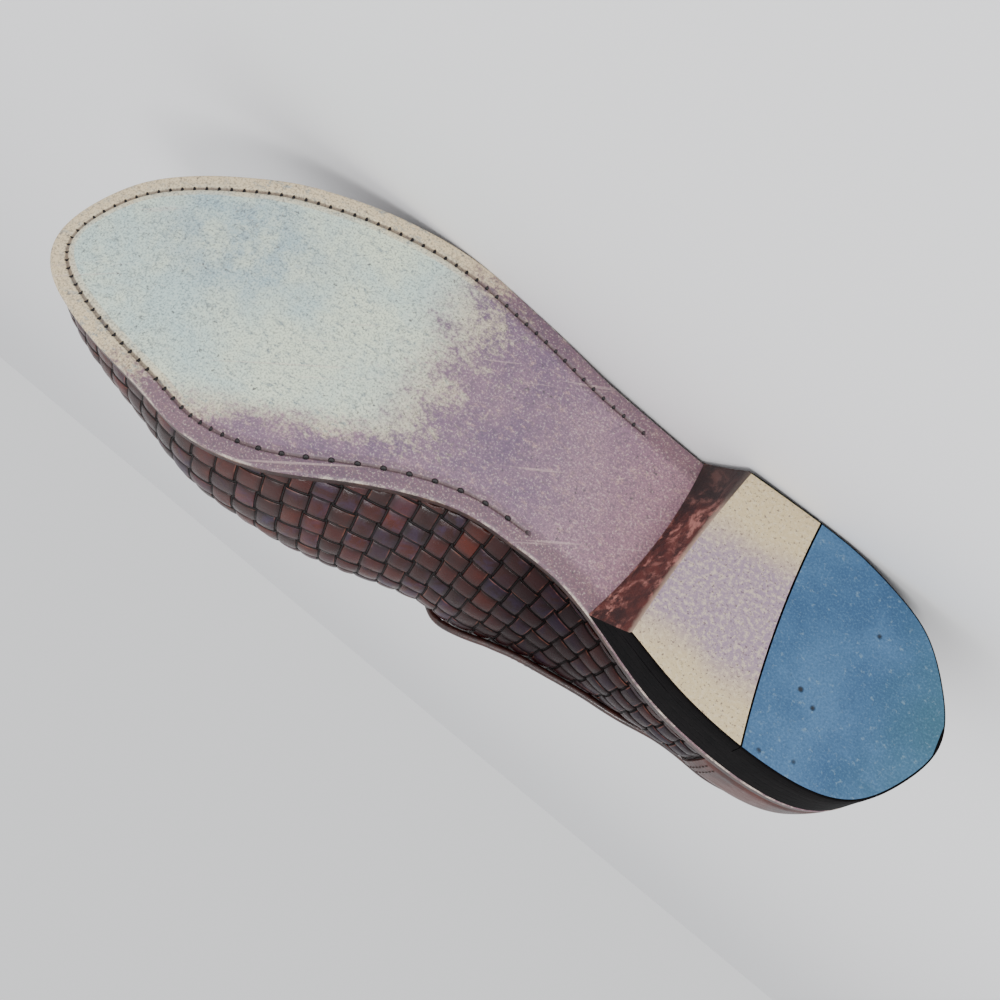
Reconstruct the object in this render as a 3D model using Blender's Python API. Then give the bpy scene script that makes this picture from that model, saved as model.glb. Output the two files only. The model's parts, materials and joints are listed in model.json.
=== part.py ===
"""A woven leather tassel loafer for the left foot, lying on its outer side.

All sizes are in metres and all shapes are worked out in the shoe's own frame: x runs from the
back of the heel to the toe, y towards the little-toe side and z up from the ground under the
tread. A turn is a place on the sole's edge: 0 at the back of the heel, pi at the toe by way of
the little-toe side, and on to 2 pi by way of the big-toe side.
"""

import math

import bmesh
import bpy
import numpy as np
from mathutils import Matrix, Vector

LENGTH = 0.300
BALL_WIDTH = 0.092
WAIST_WIDTH = 0.062
HEEL_WIDTH = 0.0735
SWING = 0.026  # how far the sole's centre line bows to the little-toe side at the waist
HEEL_HEIGHT = 0.0210  # ground to the underside of the outsole at the heel
TOE_SPRING = 0.012
INSTEP_HEIGHT = 0.073  # ground to the throat of the collar
CONE_HEIGHT = 0.118  # ground to the top of the last over the heel, above the collar
BACK_HEIGHT = 0.086  # ground to the collar at the back
SIDE_HEIGHT = 0.073  # ground to the collar at its lowest, under the ankle

SOLE_THICKNESS = 0.0050
SOLE_ROUNDING = 0.0009
INSOLE_THICKNESS = 0.0025
TOP_PIECE_THICKNESS = 0.0060
HEEL_LENGTH = 0.0865  # back of the heel to the breast, on the ground
BREAST_LEAN = 0.0110  # how far the breast's top lies ahead of its foot
BREAST_HOLLOW = 0.0030  # how far the middle of the breast lies behind its ends, at the top
BREAST_WEAR = -0.0040  # the same on the ground, less the hollow
BREAST_SKEW = 0.0095  # how much further the breast's big-toe end lies to the toe
HEEL_TAPER = 0.0022  # each side of the heel, from seat to ground
RUBBER_LENGTH = 0.0540  # back of the heel to the line between rubber and leather
RUBBER_SKEW = -0.0057
RUBBER_BOW = 0.0020

WALL = 0.0020
GAP = 0.0003
COLLAR_TUCK = 0.0048  # how far the quarters lean in towards the collar
WEAVE_PITCH = 0.0075  # width of one strip
WEAVE_RELIEF = 0.0008
WEAVE_SLOPE = 0.18  # rise of the long strips for each metre towards the heel
PATCH_LENGTH = 0.052  # plain heel leather, measured from the back of the heel
PATCH_THICKNESS = 0.0010
SEAM_WIDTH = 0.0036
SEAM_HEIGHT = 0.0022
BINDING_DEPTH = 0.0040
BINDING_THICKNESS = 0.0010
BINDING_EASE = 0.00025  # extra room for the wall's curve inside the fold
BINDING_SLACK = 0.0009  # the same at the throat
LACE_DIAMETER = 0.0026
LACE_DROP = 0.0095  # collar edge to the middle of the thong
KNOT_SIZE = (0.0130, 0.0105, 0.0070)
KNOT_AHEAD = 0.0140  # from the throat to the middle of the knot
LACE_END_REACH = 0.0270  # from the knot to the cap of a tassel
CAP_GAP = 0.0010  # thong to cap
CAP_LENGTH = 0.0090
CAP_RADIUS = 0.0042
SKIRT_LENGTH = 0.0240
SKIRT_RADIUS = 0.0066
STRIP_COUNT = 10  # strips round a tassel
STRIP_DEPTH = 0.0011

THROAT = 0.555  # share of LENGTH where the collar ends on the vamp
RIDGE = (0.09, 0.905)  # shares of LENGTH between which the last's top line runs
SIDE_POWER = 0.78  # below 1 the section of the last is fuller than an ellipse
STATION_STEP = WEAVE_PITCH / 2
INNER_ROWS = 5
RISE_SAMPLES = 80
COLLAR_MARGIN = LACE_DROP + LACE_DIAMETER  # plain wall between the collar and the weave
HEEL_MOUNT_AT = 0.026  # x of the mounts on the tread
FOREFOOT_MOUNT_AT = 0.216
SEGMENTS_ACROSS = 8

# The sole's edge. along: share of LENGTH; centre: share of SWING; half: half-width as a
# share of the width that the row names.
OUTLINE = (
    (0.000, 0.06, HEEL_WIDTH, 0.000),
    (0.020, 0.06, HEEL_WIDTH, 0.224),
    (0.050, 0.07, HEEL_WIDTH, 0.372),
    (0.100, 0.12, HEEL_WIDTH, 0.466),
    (0.150, 0.22, HEEL_WIDTH, 0.498),
    (0.200, 0.32, HEEL_WIDTH, 0.500),
    (0.260, 0.47, HEEL_WIDTH, 0.480),
    (0.320, 0.67, HEEL_WIDTH, 0.439),
    (0.380, 0.85, WAIST_WIDTH, 0.487),
    (0.440, 0.94, WAIST_WIDTH, 0.490),
    (0.490, 1.00, WAIST_WIDTH, 0.514),
    (0.548, 0.97, WAIST_WIDTH, 0.574),
    (0.604, 0.88, BALL_WIDTH, 0.439),
    (0.664, 0.74, BALL_WIDTH, 0.486),
    (0.714, 0.66, BALL_WIDTH, 0.500),
    (0.757, 0.62, BALL_WIDTH, 0.489),
    (0.813, 0.63, BALL_WIDTH, 0.440),
    (0.870, 0.61, BALL_WIDTH, 0.378),
    (0.922, 0.58, BALL_WIDTH, 0.306),
    (0.962, 0.53, BALL_WIDTH, 0.224),
    (0.986, 0.46, BALL_WIDTH, 0.136),
    (1.000, 0.40, BALL_WIDTH, 0.000),
)

# Height of the sole's underside. along: share of LENGTH; heel: share of HEEL_HEIGHT;
# toe: share of TOE_SPRING.
UNDERSIDE = (
    (0.00, 1.000, 0.00),
    (0.24, 0.965, 0.00),
    (0.34, 0.820, 0.00),
    (0.43, 0.590, 0.00),
    (0.53, 0.270, 0.00),
    (0.61, 0.050, 0.00),
    (0.66, 0.000, 0.00),
    (0.79, 0.000, 0.00),
    (0.87, 0.000, 0.24),
    (0.94, 0.000, 0.60),
    (1.00, 0.000, 1.00),
)

# The last's top line. along: share of LENGTH; height: share of the size that the row names.
TOP_LINE = (
    (0.00, CONE_HEIGHT, 1.00),
    (0.30, CONE_HEIGHT, 0.96),
    (0.42, CONE_HEIGHT, 0.83),
    (0.50, INSTEP_HEIGHT, 1.14),
    (0.56, INSTEP_HEIGHT, 1.00),
    (0.64, INSTEP_HEIGHT, 0.83),
    (0.73, INSTEP_HEIGHT, 0.68),
    (0.82, INSTEP_HEIGHT, 0.575),
    (0.90, INSTEP_HEIGHT, 0.51),
    (1.00, INSTEP_HEIGHT, 0.47),
)

# Height of the collar. along: share of LENGTH; height: share of the size that the row names.
COLLAR = (
    (0.00, BACK_HEIGHT, 1.00),
    (0.09, BACK_HEIGHT, 0.985),
    (0.20, SIDE_HEIGHT, 1.045),
    (0.32, SIDE_HEIGHT, 1.00),
    (0.45, SIDE_HEIGHT, 1.00),
    (0.56, INSTEP_HEIGHT, 1.00),
)

# The wall's fullness. along: share of LENGTH; inset of the foot of the wall from the sole's
# edge, and swell beyond it on the little-toe and big-toe side, in metres.
WALL_SHAPE = (
    (0.00, 0.0012, 0.0035, 0.0035),
    (0.15, 0.0012, 0.0045, 0.0012),
    (0.25, 0.0010, 0.0054, 0.0065),
    (0.33, 0.0008, 0.0060, 0.0148),
    (0.40, 0.0008, 0.0058, 0.0232),
    (0.47, 0.0008, 0.0055, 0.0266),
    (0.60, 0.0015, 0.0045, 0.0240),
    (0.72, 0.0024, 0.0040, 0.0150),
    (0.82, 0.0024, 0.0038, 0.0105),
    (0.93, 0.0024, 0.0032, 0.0070),
    (1.00, 0.0024, 0.0030, 0.0030),
)

# How far the quarters lean in. along: share of LENGTH; shares of COLLAR_TUCK on the little-toe
# and big-toe side.
TUCK_SHAPE = (
    (0.00, 1.00, 1.00),
    (0.12, 1.00, 0.95),
    (0.20, 1.00, 1.35),
    (0.27, 1.00, 0.60),
    (0.34, 1.00, -0.30),
    (0.41, 0.71, 0.10),
    (0.50, 0.00, 0.00),
    (1.00, 0.00, 0.00),
)

# The seam round the apron. along: share of LENGTH on the top line; up: share of the wall's
# climb from the sole to the top line.
APRON = (
    (0.50, 0.64),
    (0.60, 0.56),
    (0.72, 0.47),
    (0.91, 0.45),
)

# Each loose end of the thong: heading on the vamp, in degrees from straight ahead towards the
# floor side, how much further it leaves the knot sideways, and the tassel on it.
LACE_ENDS = (
    ("front", -7.0, -42.0),
    ("rear", 22.0, 42.0),
)

COLOURS = {
    "outsole": ((0.42, 0.36, 0.38), 0.50),
    "heel_stack": ((0.06, 0.03, 0.03), 0.55),
    "heel_top_leather": ((0.56, 0.50, 0.46), 0.60),
    "heel_top_rubber": ((0.09, 0.19, 0.28), 0.70),
    "insole": ((0.40, 0.24, 0.14), 0.60),
    "upper": ((0.10, 0.035, 0.03), 0.38),
    "heel_patch": ((0.09, 0.03, 0.025), 0.32),
    "apron_seam": ((0.09, 0.03, 0.025), 0.40),
    "collar_binding": ((0.07, 0.025, 0.02), 0.40),
    "collar_lace": ((0.07, 0.025, 0.02), 0.42),
    "lace_knot": ((0.07, 0.025, 0.02), 0.42),
    "lace_end": ((0.07, 0.025, 0.02), 0.42),
    "tassel": ((0.08, 0.028, 0.022), 0.42),
}


def column(table, index):
    return np.array([row[index] for row in table])


def smooth(knots, values, at):
    """A natural cubic spline through the knots."""
    step = np.diff(knots)
    rise = np.diff(values) / step
    size = len(knots)
    system = np.eye(size)
    right = np.zeros(size)
    for i in range(1, size - 1):
        system[i, i - 1 : i + 2] = step[i - 1], 2 * (step[i - 1] + step[i]), step[i]
        right[i] = 6 * (rise[i] - rise[i - 1])
    bend = np.linalg.solve(system, right)
    i = np.clip(np.searchsorted(knots, at) - 1, 0, size - 2)
    a, b = at - knots[i], knots[i + 1] - at
    return (
        (bend[i] * b**3 + bend[i + 1] * a**3) / (6 * step[i])
        + (values[i] / step[i] - bend[i] * step[i] / 6) * b
        + (values[i + 1] / step[i] - bend[i + 1] * step[i] / 6) * a
    )


def steady(knots, values, at):
    """A smooth curve through the knots that never swings past them."""
    step = np.diff(knots)
    rise = np.diff(values) / step
    slope = np.concatenate([rise[:1], np.zeros(len(knots) - 2), rise[-1:]])
    before, after = rise[:-1], rise[1:]
    same = before * after > 0
    slope[1:-1][same] = 2 * before[same] * after[same] / (before[same] + after[same])
    i = np.clip(np.searchsorted(knots, at) - 1, 0, len(knots) - 2)
    t = np.clip((at - knots[i]) / step[i], 0, 1)
    return (
        values[i] * (1 + 2 * t) * (1 - t) ** 2
        + values[i + 1] * t**2 * (3 - 2 * t)
        + step[i] * t * (1 - t) * (slope[i] * (1 - t) - slope[i + 1] * t)
    )


def sided(table, index, along, side):
    """A table's value on the little-toe side, or from the next column on the big-toe side."""
    return np.where(
        side > 0,
        steady(column(table, 0), column(table, index), along),
        steady(column(table, 0), column(table, index + 1), along),
    )


def ease(share):
    share = np.clip(share, 0, 1)
    return share * share * (3 - 2 * share)


def fold(turn):
    """A turn on either side as an angle from 0 at the heel to pi at the toe, with its side."""
    turn = np.mod(turn, 2 * np.pi)
    return np.where(turn > np.pi, 2 * np.pi - turn, turn), np.where(turn > np.pi, -1.0, 1.0)


def along_of(turn):
    return (1 - np.cos(fold(turn)[0])) / 2


def outline(turn):
    """The sole's edge in plan. Half-widths follow the angle, which rounds both ends."""
    angle, side = fold(turn)
    knots = np.arccos(1 - 2 * column(OUTLINE, 0))
    centre = smooth(knots, column(OUTLINE, 1) * SWING, angle)
    half = smooth(knots, column(OUTLINE, 2) * column(OUTLINE, 3), angle)
    return np.stack([along_of(turn) * LENGTH, centre + side * half], -1)


def outward(turn):
    """The outward direction in plan, square to the sole's edge."""
    ahead = outline(turn + 1e-3) - outline(turn - 1e-3)
    square = np.stack([-ahead[..., 1], ahead[..., 0]], -1)
    return square / np.linalg.norm(square, axis=-1, keepdims=True)


def edge(turn, inset):
    return outline(turn) - outward(turn) * np.asarray(inset)[..., None]


def underside(x):
    at = x / LENGTH
    knots = column(UNDERSIDE, 0)
    heel = steady(knots, column(UNDERSIDE, 1) * HEEL_HEIGHT, at)
    return heel + steady(knots, column(UNDERSIDE, 2) * TOE_SPRING, at)


def sole_top(x):
    return underside(x) + SOLE_THICKNESS


def even_turns(step):
    """Turns from heel to toe about one step apart along the edge, the mean of both sides."""
    fine = np.linspace(0, np.pi, 400)
    both = [np.linalg.norm(np.diff(outline(side * fine), axis=0), axis=1) for side in (1, -1)]
    run = np.concatenate([[0], np.cumsum(np.mean(both, axis=0))])
    count = round(run[-1] / step)
    return np.interp(np.linspace(0, run[-1], count + 1), run, fine)


def grid_quads(rows, columns, first, loop=False):
    """Quads of a grid of points numbered row by row from first."""
    r, c = np.meshgrid(np.arange(rows - 1), np.arange(columns if loop else columns - 1), indexing="ij")
    right = (c + 1) % columns
    a, b = first + r * columns + c, first + r * columns + right
    return np.stack([a, b, b + columns, a + columns], -1).reshape(-1, 4)


def material(name):
    key = next(key for key in sorted(COLOURS, key=len, reverse=True) if name.startswith(key))
    colour, roughness = COLOURS[key]
    made = bpy.data.materials.new(name)
    made.use_nodes = True
    shader = made.node_tree.nodes["Principled BSDF"]
    shader.inputs["Base Color"].default_value = (*colour, 1)
    shader.inputs["Roughness"].default_value = roughness
    shader.inputs["Metallic"].default_value = 0
    return made


def add_object(name, mesh):
    mesh.materials.clear()
    mesh.materials.append(material(name))
    mesh.shade_smooth()
    mesh.set_sharp_from_angle(angle=math.radians(40))
    obj = bpy.data.objects.new(name, mesh)
    shoe.objects.link(obj)
    obj.parent = rest
    return obj


def solid(name, patches):
    """One closed body from grids of points whose borders meet.

    Each grid comes with False, True where its rows close on themselves, or, for a single
    row of quads, which of them to keep.
    """
    points, faces = [], []
    for patch, loop in patches:
        rows, columns = patch.shape[:2]
        quads = grid_quads(rows, columns, sum(map(len, points)), loop is not False)
        faces.append(quads if isinstance(loop, bool) else quads[loop])
        points.append(patch.reshape(-1, 3))
    mesh = bpy.data.meshes.new(name)
    mesh.from_pydata(np.concatenate(points).tolist(), [], np.concatenate(faces).tolist())
    body = bmesh.new()
    body.from_mesh(mesh)
    bmesh.ops.remove_doubles(body, verts=body.verts, dist=2e-6)
    bmesh.ops.dissolve_degenerate(body, edges=body.edges, dist=1e-6)
    bmesh.ops.recalc_face_normals(body, faces=body.faces)
    if body.calc_volume(signed=True) < 0:
        bmesh.ops.reverse_faces(body, faces=body.faces)
    body.to_mesh(mesh)
    body.free()
    return add_object(name, mesh)


def lift(plan, height):
    return np.concatenate([plan, height[..., None]], -1)


def fill(lateral, medial, height):
    """A sheet between the two edges, level by the height function."""
    share = np.linspace(0, 1, SEGMENTS_ACROSS + 1)[None, :, None]
    plan = medial[:, None] * (1 - share) + lateral[:, None] * share
    return lift(plan, height(plan[..., 0], plan[..., 1]))


def slab(name, levels, edges_of):
    """A plate whose levels, bottom to top, each give a height function and an edge setting."""
    rings = []
    for height, setting in levels:
        lateral, medial = edges_of(setting)
        ring = np.concatenate([lateral, medial[::-1]])
        rings.append(lift(ring, height(ring[:, 0], ring[:, 1])))
    sheets = [(np.stack(rings), True)]
    for height, setting in (levels[0], levels[-1]):
        sheets.append((fill(*edges_of(setting), height), False))
    return solid(name, sheets)


def sole_edges(turns):
    return lambda inset: (
        edge(turns, np.full_like(turns, inset)),
        edge(2 * np.pi - turns, np.full_like(turns, inset)),
    )


def build_outsole():
    under = lambda x, y: underside(x)
    eased = lambda x, y: underside(x) + SOLE_ROUNDING
    top = lambda x, y: sole_top(x)
    levels = ((under, SOLE_ROUNDING), (eased, 0.0), (top, 0.0))
    slab("outsole", levels, sole_edges(even_turns(0.0065)))


def build_insole():
    inset = WALL_SHAPE[-1][1] + WALL + 2 * GAP
    bottom = lambda x, y: sole_top(x) + GAP
    top = lambda x, y: sole_top(x) + GAP + INSOLE_THICKNESS
    slab("insole", ((bottom, inset), (top, inset)), sole_edges(even_turns(0.011)))


def breast(across, up):
    """x of the heel's front face, by share across from big-toe to little-toe side and share up."""
    hollow = (BREAST_HOLLOW + BREAST_WEAR * (1 - up)) * (1 - (2 * across - 1) ** 2)
    return HEEL_LENGTH - hollow + BREAST_SKEW * (0.5 - across) + BREAST_LEAN * up


def rubber_line(across):
    bow = RUBBER_BOW * (1 - (2 * across - 1) ** 2)
    return RUBBER_LENGTH + bow + RUBBER_SKEW * (0.5 - across)


def turn_at(x, side):
    """The turn on one side whose edge lies at x."""
    angle = np.arccos(1 - 2 * np.clip(x / LENGTH, 0, 1))
    return angle if side > 0 else 2 * np.pi - angle


def heel_sheet(back, front, up, rows):
    """Points of the heel at one level, from the back line to the front line.

    back and front give x by share across, or back is None where the heel rounds off.
    """
    across = np.linspace(0, 1, SEGMENTS_ACROSS + 1)
    inset = HEEL_TAPER * (1 - up) + 0.0002
    ends = front(across)
    share = np.linspace(0, 1, rows + 1)
    if back is None:
        x = (share[:, None] ** 1.8) * ends[None, :]
    else:
        starts = back(across)
        x = starts[None, :] + share[:, None] * (ends - starts)[None, :]
    lateral = edge(turn_at(x[:, -1], 1), np.full(rows + 1, inset))
    medial = edge(turn_at(x[:, 0], -1), np.full(rows + 1, inset))
    y = medial[:, None, 1] + (lateral - medial)[:, None, 1] * across[None, :]
    skew = (medial[:, 0] - x[:, 0])[:, None] * (1 - across) + (lateral[:, 0] - x[:, -1])[:, None] * across
    front_hold = 1 - share[:, None] ** 4
    back_hold = 1 if back is None else 1 - (1 - share[:, None]) ** 4
    return np.stack([x + skew * front_hold * back_hold, y], -1)


def heel_piece(name, back, front, bottom, top, rows):
    """A layer of the heel between two heights, each a share up and a height function."""
    sheets = []
    for up, height in (bottom, top):
        plan = heel_sheet(back, lambda across, up=up: front(across, up), up, rows)
        sheets.append(lift(plan, height(plan[..., 0])))
    low, high = sheets
    ring = lambda sheet: np.concatenate(
        [sheet[:, 0], sheet[-1, 1:], sheet[-2::-1, -1], sheet[0, -2:0:-1]]
    )
    side = np.stack([ring(low), ring(high)])
    return solid(name, [(low, False), (high, False), (side, True)])


def build_heel():
    ground = lambda x: np.zeros_like(x)
    top_of_tread = lambda x: np.full_like(x, TOP_PIECE_THICKNESS)
    foot_of_stack = lambda x: np.full_like(x, TOP_PIECE_THICKNESS + GAP)
    seat = lambda x: underside(x) - GAP
    tread_share = TOP_PIECE_THICKNESS / HEEL_HEIGHT
    heel_piece("heel_stack", None, breast, (tread_share, foot_of_stack), (1.0, seat), 10)
    rubber_front = lambda across, up: rubber_line(across)
    heel_piece("heel_top_rubber", None, rubber_front, (0.0, ground), (tread_share, top_of_tread), 8)
    leather_back = lambda across: rubber_line(across) + GAP
    heel_piece(
        "heel_top_leather", leather_back, breast, (0.0, ground), (tread_share, top_of_tread), 5
    )


def foot_of_wall(turn):
    """Where the upper meets the sole."""
    inset = steady(column(WALL_SHAPE, 0), column(WALL_SHAPE, 1), along_of(turn))
    plan = edge(turn, inset)
    return lift(plan, sole_top(plan[..., 0]) + GAP)


def top_line(turn):
    """The point of the last's top line that the wall at this turn leans to."""
    along = RIDGE[0] + (RIDGE[1] - RIDGE[0]) * along_of(turn)
    knots = np.arccos(1 - 2 * column(OUTLINE, 0))
    centre = smooth(knots, column(OUTLINE, 1) * SWING, np.arccos(1 - 2 * along))
    height = steady(column(TOP_LINE, 0), column(TOP_LINE, 1) * column(TOP_LINE, 2), along)
    return np.stack([along * LENGTH, centre, height], -1)


def wall_point(turn, rise):
    """A point of the upper's outer face. rise is 0 at the sole and pi/2 on the top line."""
    foot, top = foot_of_wall(turn), top_line(turn)
    side = fold(turn)[1]
    swell = sided(WALL_SHAPE, 2, along_of(turn), side)
    cosine, sine = np.clip(np.cos(rise), 0, 1), np.sin(rise)
    lean = (1 - cosine**SIDE_POWER)[..., None]
    tuck = COLLAR_TUCK * sided(TUCK_SHAPE, 1, along_of(turn), side) * ease((rise - 0.2) / 0.4)
    out = swell * np.sin(np.clip(2 * rise, 0, np.pi)) - tuck
    plan = foot[..., :2] * (1 - lean) + top[..., :2] * lean + outward(turn) * out[..., None]
    height = foot[..., 2] + (top[..., 2] - foot[..., 2]) * sine
    return lift(plan, height)


def wall_normal(turn, rise):
    """The direction square to the upper's outer face, pointing out of the shoe."""
    low, high = np.clip(rise - 0.02, 0, np.pi / 2), np.clip(rise + 0.02, 0, np.pi / 2)
    up = wall_point(turn, high) - wall_point(turn, low)
    round_ = wall_point(turn + 4e-3, rise) - wall_point(turn - 4e-3, rise)
    normal = np.cross(up, round_)
    normal[rise <= 1e-6, 2] = 0
    on_top = rise >= np.pi / 2 - 1e-6
    ahead = top_line(np.clip(fold(turn)[0], 0.02, np.pi - 0.02) + 0.02)
    ahead = ahead - top_line(np.clip(fold(turn)[0], 0.02, np.pi - 0.02) - 0.02)
    square = np.stack([-ahead[..., 2], np.zeros_like(rise), ahead[..., 0]], -1)
    square /= np.linalg.norm(square, axis=-1, keepdims=True)
    normal = np.where(on_top[..., None], square, normal)
    return normal / np.linalg.norm(normal, axis=-1, keepdims=True)


def collar_rise(turn):
    """The rise at which the wall ends: on the collar, or on the top line past the throat."""
    foot, top = foot_of_wall(turn), top_line(turn)
    along = top[..., 0] / LENGTH
    height = steady(column(COLLAR, 0), column(COLLAR, 1) * column(COLLAR, 2), along)
    share = np.clip((height - foot[..., 2]) / (top[..., 2] - foot[..., 2]), 0, 1)
    return np.where(along >= THROAT, np.pi / 2, np.arcsin(share))


def climb(turns):
    """For each turn, the wall's length from the sole at evenly spaced rises."""
    rises = np.linspace(0, 1, RISE_SAMPLES)[None, :] * collar_rise(turns)[:, None]
    points = wall_point(np.repeat(turns[:, None], RISE_SAMPLES, 1), rises)
    steps = np.linalg.norm(np.diff(points, axis=1), axis=2)
    return rises, np.concatenate([np.zeros((len(turns), 1)), np.cumsum(steps, axis=1)], 1)


def rise_at(turns, lengths):
    """The rises at which each turn's wall has the wanted lengths from the sole."""
    rises, run = climb(turns)
    return np.stack([np.interp(lengths[i], run[i], rises[i]) for i in range(len(turns))])


def ring_turns(turns):
    """The half ring of turns carried round the toe and back to the heel."""
    return np.concatenate([turns, 2 * np.pi - turns[-2:0:-1]])


def edge_run(turns):
    """Length along the sole's edge from the toe to each turn."""
    points = outline(turns)
    toe = int(np.argmin(np.abs(turns - np.pi)))
    run = np.concatenate([[0], np.cumsum(np.linalg.norm(np.diff(points, axis=0), axis=1))])
    return np.abs(run - run[toe])


def weave_relief(turns, rows, lengths, tops, across, rises):
    """How far each point of the wall is raised: each strip swells at the middle of its cell."""
    middle = (np.arange(len(turns))[:, None] % 2 == 1) & (rows[None, :] % 2 == 1)
    seam = np.abs(lengths - seam_length(turns)[:, None]) < STATION_STEP + SEAM_WIDTH / 2
    seam &= (top_line(turns)[:, 0] > APRON[0][0] * LENGTH)[:, None]
    woven = (along_of(turns) * LENGTH > PATCH_LENGTH + STATION_STEP)[:, None]
    margin = np.where(open_at(turns), COLLAR_MARGIN, WEAVE_PITCH / 2)[:, None]
    inside = (lengths > 0) & (tops[:, None] - lengths > margin)
    points = wall_point(across, rises)
    spacing = np.linalg.norm(np.roll(points, -1, 0) - np.roll(points, 1, 0), axis=-1) / 2
    return WEAVE_RELIEF * (middle & woven & inside & ~seam & (spacing > STATION_STEP * 0.6))


def open_at(turns):
    return top_line(turns)[:, 0] < THROAT * LENGTH


def build_upper():
    """The woven wall. Its rows of points climb towards the heel as the long strips do."""
    turns = ring_turns(even_turns(STATION_STEP))
    tops = climb(turns)[1][:, -1]
    slope = WEAVE_SLOPE * edge_run(turns)
    first = -math.ceil(slope.max() / STATION_STEP)
    rows = np.arange(first, math.ceil(tops.max() / STATION_STEP) + 1)
    lengths = rows[None, :] * STATION_STEP + slope[:, None]
    snap = 0.35 * STATION_STEP
    lengths = np.where(lengths < snap, 0, lengths)
    lengths = np.where(lengths > tops[:, None] - snap, tops[:, None], lengths)
    rises = rise_at(turns, lengths)
    across = np.repeat(turns[:, None], len(rows), 1)
    relief = weave_relief(turns, rows, lengths, tops, across, rises)
    outer = wall_point(across, rises) + wall_normal(across, rises) * relief[..., None]
    inner_share = 1 - np.linspace(1, 0, INNER_ROWS + 1) ** 1.5
    rises = rise_at(turns, tops[:, None] * inner_share[None, :])
    across = np.repeat(turns[:, None], len(inner_share), 1)
    inner = wall_point(across, rises) - wall_normal(across, rises) * WALL
    outer, inner = outer.transpose(1, 0, 2), inner.transpose(1, 0, 2)
    foot = np.stack([outer[0], inner[0]])
    rim = np.stack([outer[-1], inner[-1]])
    # Past the throat both sides meet on the top line, so the rim ends with the collar.
    has_rim = open_at(turns) | np.roll(open_at(turns), -1)
    solid("upper", [(outer, True), (inner, True), (foot, True), (rim, has_rim)])


def wall_at(turns, lengths, height):
    """Points at lengths up the wall from the sole, height above the outer face."""
    rises = rise_at(turns, lengths)
    across = np.repeat(turns[:, None], lengths.shape[1], 1)
    return wall_point(across, rises) + wall_normal(across, rises) * np.asarray(height)[..., None]


def shell(name, low, high, closed=False):
    """A body between two like grids; closed joins the ends of their rows."""
    sheets = [(low, closed), (high, closed)]
    sheets += [(np.stack([low[end], high[end]]), closed) for end in (0, -1)]
    if not closed:
        sheets += [(np.stack([low[:, end], high[:, end]]), False) for end in (0, -1)]
    return solid(name, sheets)


def build_heel_patch():
    limit = math.acos(1 - 2 * PATCH_LENGTH / LENGTH)
    turns = np.linspace(-limit, limit, 25)
    tops = climb(turns)[1][:, -1] - COLLAR_MARGIN
    lengths = GAP + np.linspace(0, 1, 8)[None, :] * (tops - GAP)[:, None]
    flat = np.full(lengths.shape, 1.5 * GAP)
    sheets = [wall_at(turns, lengths, height) for height in (flat, flat + PATCH_THICKNESS)]
    shell("heel_patch", *[sheet.transpose(1, 0, 2) for sheet in sheets])


def seam_length(turns):
    """Length up the wall to the middle of the apron's seam."""
    share = steady(column(APRON, 0), column(APRON, 1), top_line(turns)[:, 0] / LENGTH)
    return share * climb(turns)[1][:, -1]


def build_apron_seam():
    """A raised roll from one corner of the throat round the toe to the other."""
    turns = ring_turns(even_turns(1.5 * STATION_STEP))
    turns = turns[top_line(turns)[:, 0] > THROAT * LENGTH]
    middle = seam_length(turns)[:, None]
    across = np.linspace(-1, 1, 4)[None, :]
    lengths = middle + across * SEAM_WIDTH / 2
    flat = np.full(lengths.shape, GAP)
    crown = flat + SEAM_HEIGHT * np.sqrt(1.12 - across**2)
    sheets = [wall_at(turns, lengths, height) for height in (flat, crown)]
    shell("apron_seam", *[sheet.transpose(1, 0, 2) for sheet in sheets])


def build_binding():
    """A folded strip over the collar's edge: its section is a hook carried round the rim."""
    ring = ring_turns(even_turns(STATION_STEP))
    first_closed = int(np.argmax(~open_at(ring)))
    turns = ring[open_at(ring)]
    split = first_closed
    turns = np.concatenate([turns[split:], turns[:split], ring[first_closed : first_closed + 1]])
    rises = collar_rise(turns)
    rim, out = wall_point(turns, rises), wall_normal(turns, rises)
    ahead = np.roll(rim, -1, 0) - np.roll(rim, 1, 0)
    up = np.cross(out, ahead)
    up /= np.linalg.norm(up, axis=1, keepdims=True)
    up *= np.sign(up[0, 2])
    below = wall_at(turns, climb(turns)[1][:, -1:] - BINDING_DEPTH, np.zeros((len(turns), 1)))
    sag = np.maximum(-((below[:, 0] - rim) * out).sum(1), 0)
    # The rim crosses the vamp in long, twisted steps, so the fold is looser there.
    near = GAP + BINDING_EASE + BINDING_SLACK * np.clip((rim[:, 0] - 0.146) / 0.014, 0, 1)
    far = near + BINDING_THICKNESS
    section = (
        (-BINDING_DEPTH, near),
        (-BINDING_DEPTH, far),
        (far, far),
        (far, -WALL - far),
        (-BINDING_DEPTH, -WALL - far - sag),
        (-BINDING_DEPTH, -WALL - near - sag),
        (near, -WALL - near),
        (near, near),
        (-BINDING_DEPTH, near),
    )
    rings = np.stack(
        [rim + up * np.reshape(rise, (-1, 1)) + out * side[:, None] for rise, side in section]
    )
    solid("collar_binding", [(rings, True)])


def thong(name, route, diameter):
    """A round thong along a route, as a curve with filled caps."""
    curve = bpy.data.curves.new(name, "CURVE")
    curve.dimensions = "3D"
    curve.bevel_depth = diameter / 2
    curve.bevel_resolution = 1
    curve.use_fill_caps = True
    spline = curve.splines.new("POLY")
    spline.points.add(len(route) - 1)
    spline.points.foreach_set("co", np.column_stack([route, np.ones(len(route))]).ravel())
    curve.materials.append(material(name))
    obj = bpy.data.objects.new(name, curve)
    obj.parent = rest
    shoe.objects.link(obj)


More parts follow.
